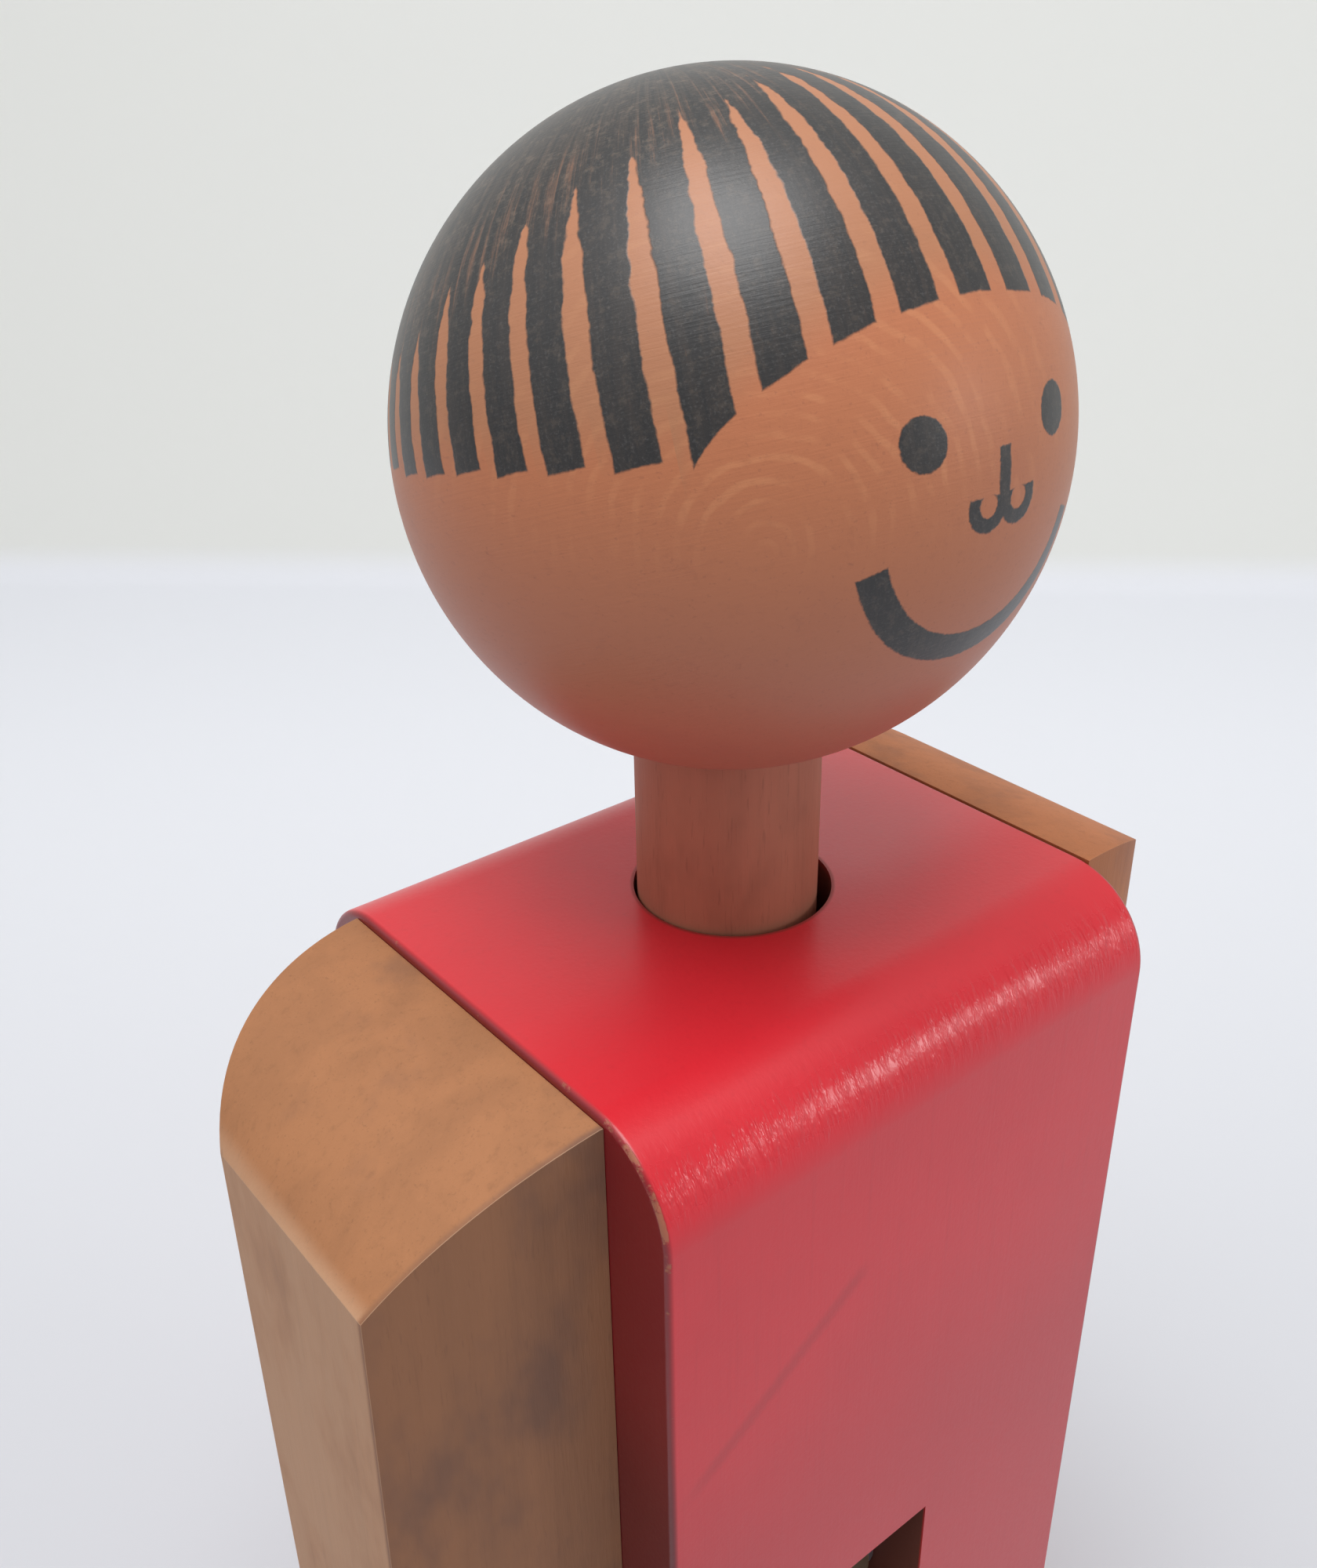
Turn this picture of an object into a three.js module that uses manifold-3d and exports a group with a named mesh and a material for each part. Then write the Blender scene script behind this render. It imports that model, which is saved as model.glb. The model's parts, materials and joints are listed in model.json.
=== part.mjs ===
// A wooden toy footballer, in millimetres, +Z up, its front towards -Y.
// Sizes are taken about the middle of the bottom of the body block, and at the end the whole figure is
// moved so that the origin is on the floor, midway between the back of the head and the tip of the boot.
// The head stands on a sprung plunger: pressed down, the plunger tips the leg's tail and the boot kicks.
import * as THREE from 'three';
import { mergeVertices } from 'three/addons/utils/BufferGeometryUtils.js';
import Module from 'manifold-3d';

const wasm = await Module();
wasm.setup();

// Fits
const CLEARANCE = 0.3;

// Body block
const BODY_WIDTH = 53.4;
const BODY_DEPTH = 47.6;
const BODY_HEIGHT = 130;
const SHOULDER_ROUND = 8.1;
const BODY_EDGE = 0.8;
const SLOT_WIDTH = 13;
const SLOT_CENTRE = -2.5;
const SLOT_HEIGHT = 70.5;
const BORE_DIAMETER = 17.1;
const BORE_SIDE = 0.6;
const WEB_THICKNESS = 5.5;

// Head and plunger
const HEAD_DIAMETER = 50;
const HEAD_BORE_DEPTH = 18;
const NECK_DIAMETER = 15.5;
const NECK_SHOWING = 14.3;
const PLUNGER_BACK = 0.75;
const TRAVEL = 12;
const GROOVE_DIAMETER = 10;
const COLLAR_LENGTH = 7;
const SPIGOT_DIAMETER = 6;
const SPIGOT_SHOWING = 1.7;
const SPIGOT_HOLE_PLAY = 0.75;

// Stop pins
const STOP_PIN_DIAMETER = 3;
const STOP_PIN_DEPTH = 18;

// Spring and its washers
const WASHER_DIAMETER = 14.8;
const WASHER_HOLE = 7.2;
const WASHER_THICKNESS = 1.2;
const WIRE_DIAMETER = 1.4;
const SPRING_DIAMETER = 12.4;
const ACTIVE_CURLS = 4;
const END_PITCH = 2;

// Arms
const ARM_LENGTH = 82;
const ARM_THICKNESS = 18;
const ARM_FLARE = 1.2;
const ARM_TOP_DROP = 0.7;
const LEFT_ARM_RAISE = 0.7;
const ARM_CREASE_DROP = 9.6;
const SHOULDER_BULGE = 21;
const ARM_INNER_DEPTH = 36.5;
const ARM_MIDDLE = 1.2;
const ARM_SLANT = 3.4;
const ARM_OUTER_DEPTH = 21;
const ARM_ROUND_OUT = 3;
const ARM_ROUND_IN = 1.8;
const ARM_DOWEL_DIAMETER = 6;
const ARM_DOWEL_LENGTH = 20;
const ARM_DOWEL_DROP = 30;
const ARM_DOWEL_SPACING = 30;

// Kicking leg
const TAIL_REACH = 14;
const TAIL_NOSE = 4.5;
const TAIL_BAR = 5;
const HIP_BOSS = 6.2;
const CALF_WIDTH = 13;
const KNEE_DROP = 15;
const THIGH_TURN = 20;
const HIP_PIN_DIAMETER = 4;
const HIP_WASHER_DIAMETER = 11;
const HIP_WASHER_THICKNESS = 1;

// Boot
const BOOT_LENGTH = 33;
const BOOT_HEIGHT = 13;
const BOOT_LIFT = 1.5;
const BOOT_HEEL = 8.5;
const TOE_HEIGHT = 7.5;
const BOOT_EDGE = 1.2;
const BOOT_DOWEL_DIAMETER = 5;
const BOOT_DOWEL_LENGTH = 18;

// Facets
const ROUND_SIDES = 40;
const HEAD_SIDES = 56;
const HEAD_RINGS = 14;
const ARC_STEPS = 10;
const CURL_STEPS = 8;
const WIRE_SIDES = 5;

// Worked out from the sizes above
const slotCeiling = SLOT_HEIGHT;
const boreFloor = slotCeiling + WEB_THICKNESS;
const headCentre = BODY_HEIGHT + NECK_SHOWING + HEAD_DIAMETER / 2;
const spigotEnd = slotCeiling - SPIGOT_SHOWING;
const stopPinHeight = BODY_HEIGHT - STOP_PIN_DEPTH;
const stopPinOffset = GROOVE_DIAMETER / 2 + STOP_PIN_DIAMETER / 2 + CLEARANCE;
const collarTop = stopPinHeight - STOP_PIN_DIAMETER / 2 - CLEARANCE;
const collarBottom = collarTop - COLLAR_LENGTH;
const grooveTop = stopPinHeight + STOP_PIN_DIAMETER / 2 + TRAVEL + CLEARANCE;
const thrustWasherBottom = collarBottom - CLEARANCE - WASHER_THICKNESS;
const seatWasherBottom = boreFloor + CLEARANCE;
const springBottom = seatWasherBottom + WASHER_THICKNESS + CLEARANCE;
const springTop = thrustWasherBottom - CLEARANCE;
// The tail starts as far above the level of the hip as it ends below it.
const tailRise = Math.asin(TRAVEL / 2 / TAIL_REACH);
const hipHeight = spigotEnd - CLEARANCE - TAIL_NOSE - TRAVEL / 2;
const hipBack = PLUNGER_BACK - TAIL_REACH * (1 + Math.cos(tailRise)) / 2;
const legThickness = SLOT_WIDTH - 2 * (HIP_WASHER_THICKNESS + 2 * CLEARANCE);
const ankleHeight = BOOT_LIFT + BOOT_HEIGHT + CLEARANCE;
const heelBack = hipBack + BOOT_HEEL;
const toeFront = heelBack - BOOT_LENGTH;
const headBack = PLUNGER_BACK + HEAD_DIAMETER / 2;
const middleBack = (headBack + toeFront) / 2;

function toSolid(geometry) {
  const bare = geometry.index ? geometry.toNonIndexed() : geometry.clone();
  bare.deleteAttribute('normal');
  bare.deleteAttribute('uv');
  const merged = mergeVertices(bare, 1e-4);
  const mesh = new wasm.Mesh({
    numProp: 3,
    vertProperties: new Float32Array(merged.attributes.position.array),
    triVerts: new Uint32Array(merged.index.array),
  });
  mesh.merge();
  return new wasm.Manifold(mesh);
}

function toGeometry(solid) {
  const mesh = solid.getMesh();
  const geometry = new THREE.BufferGeometry();
  geometry.setAttribute('position', new THREE.BufferAttribute(new Float32Array(mesh.vertProperties), 3));
  geometry.setIndex(new THREE.BufferAttribute(new Uint32Array(mesh.triVerts), 1));
  geometry.computeVertexNormals();
  return geometry;
}

function cut(geometry, tools) {
  return toGeometry(tools.reduce((solid, tool) => solid.subtract(toSolid(tool)), toSolid(geometry)));
}

function rod(diameter, length) {
  return new THREE.CylinderGeometry(diameter / 2, diameter / 2, length, ROUND_SIDES);
}

// A rod along X, centred on a point.
function crossRod(diameter, length, x, y, z) {
  return rod(diameter, length).rotateZ(Math.PI / 2).translate(x, y, z);
}

// A rod along Z between two heights.
function uprightRod(diameter, bottom, top, x, y) {
  return rod(diameter, top - bottom).rotateX(Math.PI / 2).translate(x, y, (bottom + top) / 2);
}

// A solid turned about Z from [radius, height] pairs, upwards on the outside, from axis to axis or closed.
function turned(profile, sides) {
  const points = profile.map(([radius, height]) => new THREE.Vector2(radius, height));
  return new THREE.LatheGeometry(points, sides).rotateX(Math.PI / 2);
}

function ring(outer, inner, bottom, thickness) {
  const top = bottom + thickness;
  const profile = [[inner, bottom], [outer, bottom], [outer, top], [inner, top], [inner, bottom]];
  return turned(profile, ROUND_SIDES);
}

// An outline drawn as (y, z), given a width along X about its middle plane and softened by an edge.
function sideProfile(shape, width, edge) {
  const options = {
    depth: width - 2 * edge,
    curveSegments: ARC_STEPS,
    bevelEnabled: edge > 0,
    bevelThickness: edge,
    bevelSize: edge,
    bevelOffset: -edge,
    bevelSegments: 2,
  };
  const geometry = new THREE.ExtrudeGeometry(shape, options).translate(0, 0, -(width - 2 * edge) / 2);
  return geometry.rotateZ(Math.PI / 2).rotateY(Math.PI / 2);
}

function armDowelHeights() {
  const first = BODY_HEIGHT - ARM_TOP_DROP - ARM_DOWEL_DROP;
  return [first, first - ARM_DOWEL_SPACING];
}

function armDowel(side, height, diameter, length) {
  return crossRod(diameter, length, side * (BODY_WIDTH + CLEARANCE) / 2, ARM_MIDDLE, height);
}

function stopPin(side, diameter, length) {
  return crossRod(diameter, length, 0, PLUNGER_BACK + side * stopPinOffset, stopPinHeight);
}

function bodyOutline() {
  const half = BODY_DEPTH / 2;
  const bend = half - SHOULDER_ROUND;
  const level = BODY_HEIGHT - SHOULDER_ROUND;
  const shape = new THREE.Shape();
  shape.moveTo(-half, 0);
  shape.lineTo(half, 0);
  shape.absarc(bend, level, SHOULDER_ROUND, 0, Math.PI / 2, false);
  shape.absarc(-bend, level, SHOULDER_ROUND, Math.PI / 2, Math.PI, false);
  shape.closePath();
  return shape;
}

function bodyBlock() {
  const through = BODY_WIDTH * 2;
  const slot = new THREE.BoxGeometry(SLOT_WIDTH, BODY_DEPTH * 2, SLOT_HEIGHT * 2).translate(SLOT_CENTRE, 0, 0);
  const spigotHole = SPIGOT_DIAMETER + 2 * SPIGOT_HOLE_PLAY;
  const tools = [
    uprightRod(BORE_DIAMETER, boreFloor, BODY_HEIGHT * 2, BORE_SIDE, PLUNGER_BACK),
    uprightRod(spigotHole, slotCeiling / 2, boreFloor + WEB_THICKNESS, 0, PLUNGER_BACK),
    slot,
    crossRod(HIP_PIN_DIAMETER + 2 * CLEARANCE, through, 0, hipBack, hipHeight),
  ];
  for (const side of [-1, 1]) {
    tools.push(stopPin(side, STOP_PIN_DIAMETER + 2 * CLEARANCE, through));
    for (const height of armDowelHeights()) {
      const hole = ARM_DOWEL_DIAMETER + 2 * CLEARANCE;
      tools.push(armDowel(side, height, hole, ARM_DOWEL_LENGTH + 2 * CLEARANCE));
    }
  }
  return cut(sideProfile(bodyOutline(), BODY_WIDTH, BODY_EDGE), tools);
}

// A ball with a blind bore for the neck.
function headBall() {
  const radius = HEAD_DIAMETER / 2;
  const bore = NECK_DIAMETER / 2 + CLEARANCE;
  const boreTop = headCentre - radius + HEAD_BORE_DEPTH;
  const rim = -Math.acos(bore / radius);
  const profile = [[0, boreTop], [bore, boreTop]];
  for (let step = 0; step < HEAD_RINGS; step += 1) {
    const latitude = rim * (1 - step / HEAD_RINGS);
    profile.push([radius * Math.cos(latitude), headCentre + radius * Math.sin(latitude)]);
  }
  for (let step = 0; step < HEAD_RINGS; step += 1) {
    const latitude = Math.PI / 2 * step / HEAD_RINGS;
    profile.push([radius * Math.cos(latitude), headCentre + radius * Math.sin(latitude)]);
  }
  profile.push([0, headCentre + radius]);
  return turned(profile, HEAD_SIDES).translate(0, PLUNGER_BACK, 0);
}

// The neck runs down into the body, is necked in between the stop pins and ends in a spigot.
function neckPlunger() {
  const neck = NECK_DIAMETER / 2;
  const groove = GROOVE_DIAMETER / 2;
  const spigot = SPIGOT_DIAMETER / 2;
  const top = headCentre - HEAD_DIAMETER / 2 + HEAD_BORE_DEPTH - CLEARANCE;
  const profile = [
    [0, spigotEnd],
    [spigot, spigotEnd],
    [spigot, collarBottom],
    [neck, collarBottom],
    [neck, collarTop],
    [groove, collarTop],
    [groove, grooveTop],
    [neck, grooveTop],
    [neck, top],
    [0, top],
  ];
  return turned(profile, ROUND_SIDES).translate(0, PLUNGER_BACK, 0);
}

function springWasher(bottom) {
  const washer = ring(WASHER_DIAMETER / 2, WASHER_HOLE / 2, bottom, WASHER_THICKNESS);
  return washer.translate(0, PLUNGER_BACK, 0);
}

// The wire's centre line: one close curl at each end and open curls between them.
function springLine() {
  const radius = (SPRING_DIAMETER - WIRE_DIAMETER) / 2;
  const low = springBottom + WIRE_DIAMETER / 2;
  const high = springTop - WIRE_DIAMETER / 2;
  const activePitch = (high - low - 2 * END_PITCH) / ACTIVE_CURLS;
  const curls = ACTIVE_CURLS + 2;
  const points = [];
  let height = low;
  for (let step = 0; step <= curls * CURL_STEPS; step += 1) {
    const angle = 2 * Math.PI * step / CURL_STEPS;
    points.push(new THREE.Vector3(radius * Math.cos(angle), radius * Math.sin(angle), height));
    const isEnd = step < CURL_STEPS || step >= (curls - 1) * CURL_STEPS;
    height += (isEnd ? END_PITCH : activePitch) / CURL_STEPS;
  }
  return points;
}

// The least gap between the wire and the curls next to it.
function springGap(points) {
  let least = Infinity;
  for (let first = 0; first < points.length; first += 1) {
    for (let second = first + CURL_STEPS / 2; second < points.length; second += 1) {
      least = Math.min(least, points[first].distanceTo(points[second]) - WIRE_DIAMETER);
    }
  }
  return least;
}

// One unbroken tube round the centre line, closed at both ends.
function returnSpring() {
  const line = springLine();
  const positions = [];
  const index = [];
  for (const point of line) {
    const out = new THREE.Vector3(point.x, point.y, 0).normalize();
    for (let side = 0; side < WIRE_SIDES; side += 1) {
      const angle = 2 * Math.PI * side / WIRE_SIDES;
      const reach = WIRE_DIAMETER / 2 * Math.cos(angle);
      const rise = WIRE_DIAMETER / 2 * Math.sin(angle);
      positions.push(point.x + out.x * reach, point.y + out.y * reach + PLUNGER_BACK, point.z + rise);
    }
  }
  for (let step = 0; step < line.length - 1; step += 1) {
    for (let side = 0; side < WIRE_SIDES; side += 1) {
      const here = step * WIRE_SIDES + side;
      const next = step * WIRE_SIDES + (side + 1) % WIRE_SIDES;
      index.push(here, here + WIRE_SIDES, next, next, here + WIRE_SIDES, next + WIRE_SIDES);
    }
  }
  const last = (line.length - 1) * WIRE_SIDES;
  for (let side = 1; side < WIRE_SIDES - 1; side += 1) {
    index.push(0, side, side + 1, last, last + side + 1, last + side);
  }
  const geometry = new THREE.BufferGeometry();
  geometry.setAttribute('position', new THREE.Float32BufferAttribute(positions, 3));
  geometry.setIndex(index);
  geometry.computeVertexNormals();
  return geometry;
}

function armOutline(points, side) {
  return new THREE.Shape(points.map((point) => new THREE.Vector2(side * point.x, point.y)));
}

// The arm seen from the front: a shoulder that bends down to a crease, then a long flat.
function armFrontOutline(side) {
  const inner = BODY_WIDTH / 2 + CLEARANCE;
  const top = BODY_HEIGHT - ARM_TOP_DROP + (side > 0 ? LEFT_ARM_RAISE : 0);
  const bottom = top - ARM_LENGTH;
  const crease = new THREE.Vector2(inner + ARM_THICKNESS, top + ARM_TOP_DROP - ARM_CREASE_DROP);
  const chord = crease.clone().sub(new THREE.Vector2(inner, top));
  const half = THREE.MathUtils.degToRad(SHOULDER_BULGE);
  const radius = chord.length() / (2 * Math.sin(half));
  const across = new THREE.Vector2(chord.y, -chord.x).normalize();
  const centre = new THREE.Vector2(inner, top).add(crease).multiplyScalar(0.5);
  centre.addScaledVector(across, radius * Math.cos(half));
  const begin = Math.atan2(top - centre.y, inner - centre.x);
  const points = [new THREE.Vector2(inner + ARM_THICKNESS + ARM_FLARE, bottom), new THREE.Vector2(inner, bottom)];
  for (let step = 0; step <= ARC_STEPS; step += 1) {
    const angle = begin - 2 * half * step / ARC_STEPS;
    points.push(new THREE.Vector2(centre.x + radius * Math.cos(angle), centre.y + radius * Math.sin(angle)));
  }
  return armOutline(points, side);
}

// The arm seen from above: wide where it meets the body, with a narrow flat outside, one slanted and one rounded
// side. Both arms are the same piece: the round is at the back of the right arm and at the front of the left one.
function armPlanOutline(side) {
  const inner = BODY_WIDTH / 2;
  const outer = inner + CLEARANCE + ARM_THICKNESS + ARM_FLARE;
  const wide = ARM_INNER_DEPTH / 2;
  const slant = wide - ARM_SLANT;
  const round = new THREE.QuadraticBezierCurve(
    new THREE.Vector2(outer, ARM_OUTER_DEPTH - slant),
    new THREE.Vector2(outer - ARM_ROUND_OUT, wide - ARM_ROUND_IN),
    new THREE.Vector2(inner, wide),
  ).getPoints(ARC_STEPS);
  const points = [new THREE.Vector2(inner, -wide), new THREE.Vector2(outer, -slant), ...round];
  return armOutline(points.map((point) => new THREE.Vector2(point.x, ARM_MIDDLE - side * point.y)), side);
}

function arm(side) {
  const depth = ARM_INNER_DEPTH * 2;
  const front = new THREE.ExtrudeGeometry(armFrontOutline(side), { depth, bevelEnabled: false });
  front.translate(0, 0, -depth / 2).rotateX(Math.PI / 2);
  const height = BODY_HEIGHT * 2;
  const plan = new THREE.ExtrudeGeometry(armPlanOutline(side), { depth: height, bevelEnabled: false });
  plan.translate(0, 0, -height / 4);
  const hole = ARM_DOWEL_DIAMETER + 2 * CLEARANCE;
  const holes = armDowelHeights().map((level) => armDowel(side, level, hole, ARM_DOWEL_LENGTH + 2 * CLEARANCE));
  return cut(toGeometry(toSolid(front).intersect(toSolid(plan))), holes);
}

// The leg seen from the side about the hip: a round boss, a bar that reaches back and up to a round nose, and
// the shin, which meets the boss a little below its middle on both sides.
function legOutline() {
  const nose = new THREE.Vector2(TAIL_REACH * Math.cos(tailRise), TAIL_REACH * Math.sin(tailRise));
  const ankle = ankleHeight - hipHeight;
  const calf = CALF_WIDTH / 2;
  const thigh = THREE.MathUtils.degToRad(THIGH_TURN);
  const barAtBoss = Math.asin(TAIL_BAR / 2 / HIP_BOSS);
  const barAtNose = Math.PI - Math.asin(TAIL_BAR / 2 / TAIL_NOSE);
  const shape = new THREE.Shape();
  shape.moveTo(-calf, ankle);
  shape.lineTo(calf, ankle);
  shape.lineTo(calf, -KNEE_DROP);
  shape.absarc(0, 0, HIP_BOSS, -thigh, tailRise - barAtBoss, false);
  shape.absarc(nose.x, nose.y, TAIL_NOSE, tailRise - barAtNose, tailRise + barAtNose, false);
  shape.absarc(0, 0, HIP_BOSS, tailRise + barAtBoss, Math.PI + thigh, false);
  shape.lineTo(-calf, -KNEE_DROP);
  shape.closePath();
  return shape;
}

function bootDowel(diameter, length) {
  const middle = ankleHeight - CLEARANCE / 2;
  return uprightRod(diameter, middle - length / 2, middle + length / 2, SLOT_CENTRE, hipBack);
}

function kickingLeg() {
  const leg = sideProfile(legOutline(), legThickness, BODY_EDGE).translate(SLOT_CENTRE, hipBack, hipHeight);
  return cut(leg, [
    crossRod(HIP_PIN_DIAMETER + 2 * CLEARANCE, SLOT_WIDTH, SLOT_CENTRE, hipBack, hipHeight),
    bootDowel(BOOT_DOWEL_DIAMETER + 2 * CLEARANCE, BOOT_DOWEL_LENGTH + 2 * CLEARANCE),
  ]);
}

// The boot seen from the side: a flat sole, a round heel, an instep and a round toe in front.
function bootOutline() {
  const heel = heelBack;
  const toe = toeFront;
  const instep = hipBack - CALF_WIDTH / 2 - BOOT_EDGE;
  const top = BOOT_LIFT + BOOT_HEIGHT;
  const toeRadius = TOE_HEIGHT / 2;
  const shape = new THREE.Shape();
  shape.moveTo(toe + toeRadius, BOOT_LIFT);
  shape.lineTo(heel - toeRadius, BOOT_LIFT);
  shape.quadraticCurveTo(heel, BOOT_LIFT, heel, BOOT_LIFT + toeRadius);
  shape.lineTo(heel, top);
  shape.lineTo(instep, top);
  shape.quadraticCurveTo(instep - toeRadius, BOOT_LIFT + TOE_HEIGHT, toe + toeRadius, BOOT_LIFT + TOE_HEIGHT);
  shape.absarc(toe + toeRadius, BOOT_LIFT + toeRadius, toeRadius, Math.PI / 2, Math.PI * 1.5, false);
  return shape;
}

function kickingBoot() {
  const boot = sideProfile(bootOutline(), legThickness, BOOT_EDGE).translate(SLOT_CENTRE, 0, 0);
  return cut(boot, [bootDowel(BOOT_DOWEL_DIAMETER + 2 * CLEARANCE, BOOT_DOWEL_LENGTH + 2 * CLEARANCE)]);
}

function hipWasher(side) {
  const middle = side * (SLOT_WIDTH / 2 - CLEARANCE - HIP_WASHER_THICKNESS / 2);
  const hole = HIP_PIN_DIAMETER / 2 + CLEARANCE;
  const washer = ring(HIP_WASHER_DIAMETER / 2, hole, -HIP_WASHER_THICKNESS / 2, HIP_WASHER_THICKNESS);
  return washer.rotateY(Math.PI / 2).translate(SLOT_CENTRE + middle, hipBack, hipHeight);
}

const paints = {
  redLacquer: { color: 0xb8283a, roughness: 0.4, metalness: 0 },
  headWood: { color: 0xc8885c, roughness: 0.5, metalness: 0 },
  armWood: { color: 0xa87c58, roughness: 0.6, metalness: 0 },
  paleWood: { color: 0xc9a06e, roughness: 0.6, metalness: 0 },
  bootPaint: { color: 0x24242a, roughness: 0.45, metalness: 0 },
  steel: { color: 0xb4b6ba, roughness: 0.35, metalness: 1 },
};

const footballer = new THREE.Group();
footballer.position.y = -middleBack;

function add(name, geometry, paint) {
  const mesh = new THREE.Mesh(geometry, new THREE.MeshStandardMaterial(paints[paint]));
  mesh.name = name;
  footballer.add(mesh);
}

const insideLength = BODY_WIDTH - 2 * CLEARANCE;
add('body_block', bodyBlock(), 'redLacquer');
add('head_ball', headBall(), 'headWood');
add('neck_plunger', neckPlunger(), 'headWood');
add('thrust_washer', springWasher(thrustWasherBottom), 'steel');
add('seat_washer', springWasher(seatWasherBottom), 'steel');
add('return_spring', returnSpring(), 'steel');
add('stop_pin_front', stopPin(-1, STOP_PIN_DIAMETER, insideLength), 'steel');
add('stop_pin_back', stopPin(1, STOP_PIN_DIAMETER, insideLength), 'steel');
for (const [name, side] of [['right', -1], ['left', 1]]) {
  add(`${name}_arm`, arm(side), 'armWood');
  armDowelHeights().forEach((height, place) => {
    const dowel = armDowel(side, height, ARM_DOWEL_DIAMETER, ARM_DOWEL_LENGTH);
    add(`${name}_arm_dowel_${place ? 'lower' : 'upper'}`, dowel, 'paleWood');
  });
  add(`hip_washer_${name}`, hipWasher(side), 'steel');
}
add('kicking_leg', kickingLeg(), 'paleWood');
add('kicking_boot', kickingBoot(), 'bootPaint');
add('boot_dowel', bootDowel(BOOT_DOWEL_DIAMETER, BOOT_DOWEL_LENGTH), 'paleWood');
add('hip_pin', crossRod(HIP_PIN_DIAMETER, insideLength, 0, hipBack, hipHeight), 'steel');

console.log(`least gap between the spring's curls ${springGap(springLine()).toFixed(2)} mm`);
console.log(`hip at y ${(hipBack - middleBack).toFixed(3)}, z ${hipHeight.toFixed(3)}`);
console.log(`plunger at y ${(PLUNGER_BACK - middleBack).toFixed(4)}, kick ${(2 * tailRise).toFixed(5)} rad`);

export default footballer;
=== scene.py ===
"""Dresses the frame of a wooden toy footballer: a turned head on a sprung neck, a lacquered block, two arms
and a leg that kicks when the head is pressed. Lengths are in metres and the front looks along -Y."""

import json
import math

import bpy
from mathutils import Matrix, Vector


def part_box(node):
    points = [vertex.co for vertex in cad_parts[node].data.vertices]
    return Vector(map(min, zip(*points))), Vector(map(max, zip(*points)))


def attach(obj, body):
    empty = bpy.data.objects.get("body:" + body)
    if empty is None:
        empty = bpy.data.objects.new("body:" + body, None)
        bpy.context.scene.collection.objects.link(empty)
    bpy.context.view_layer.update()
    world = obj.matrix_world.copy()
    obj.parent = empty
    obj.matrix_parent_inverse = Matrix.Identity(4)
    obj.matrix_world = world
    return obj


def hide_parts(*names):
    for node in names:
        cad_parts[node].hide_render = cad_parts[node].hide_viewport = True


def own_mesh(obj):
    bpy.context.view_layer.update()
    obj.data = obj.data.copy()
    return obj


bl_info = {
    "name": "Wooden toy footballer",
    "version": (1, 0, 0),
    "blender": (4, 5, 0),
    "location": "View3D > Sidebar > Footballer",
    "description": "Models and paints the footballer's pieces around its frame, and sets the stage",
    "category": "Object",
}

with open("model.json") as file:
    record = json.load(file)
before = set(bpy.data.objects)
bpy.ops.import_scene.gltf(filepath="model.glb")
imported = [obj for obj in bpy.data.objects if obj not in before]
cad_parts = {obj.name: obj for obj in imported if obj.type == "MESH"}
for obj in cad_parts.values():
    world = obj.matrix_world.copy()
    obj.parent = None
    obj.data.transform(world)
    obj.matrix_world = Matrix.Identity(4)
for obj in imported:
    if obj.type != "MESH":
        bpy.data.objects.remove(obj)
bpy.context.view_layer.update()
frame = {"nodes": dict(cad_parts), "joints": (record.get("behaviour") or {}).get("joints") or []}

MM = 0.001
FIT = 0.3 * MM
SEAT = 0.03 * MM
DEGREE = math.radians(1)
SMOOTH_LIMIT = 35 * DEGREE


def middle_of(node):
    low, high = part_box(node)
    return (low + high) / 2


def size_of(node):
    low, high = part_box(node)
    return high - low


neck_axis = middle_of("neck_plunger")
head_radius = size_of("head_ball").x / 2
head_centre = Vector((neck_axis.x, neck_axis.y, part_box("head_ball")[1].z - head_radius))
block_low, block_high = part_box("body_block")
block_middle = middle_of("body_block")
hip = middle_of("hip_pin")
leg_x = middle_of("kicking_leg").x
press = next(joint for joint in frame["joints"] if joint["name"] == "head_press")
travel = press["range_m"][1]


def linear(channel):
    share = channel / 255
    return share / 12.92 if share <= 0.04045 else ((share + 0.055) / 1.055) ** 2.4


def rgb(red, green, blue):
    return (linear(red), linear(green), linear(blue), 1.0)


def scaled(tone, factor):
    """A darker or lighter tone."""
    return tuple(min(channel * factor, 1) for channel in tone[:3]) + (1.0,)


def length(name, description, millimetres):
    return bpy.props.FloatProperty(
        name=name, description=description, default=millimetres * MM, min=0, unit="LENGTH", precision=5
    )


def angle(name, description, degrees):
    return bpy.props.FloatProperty(
        name=name, description=description, default=math.radians(degrees), subtype="ANGLE"
    )


def share(name, description, default):
    return bpy.props.FloatProperty(
        name=name, description=description, default=default, min=0, max=1, subtype="FACTOR"
    )


def colour(name, description, red, green, blue):
    return bpy.props.FloatVectorProperty(
        name=name,
        description=description,
        size=4,
        default=rgb(red, green, blue),
        min=0,
        max=1,
        subtype="COLOR",
    )


def power(name, description, watts):
    return bpy.props.FloatProperty(name=name, description=description, default=watts, min=0, unit="POWER")


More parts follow.
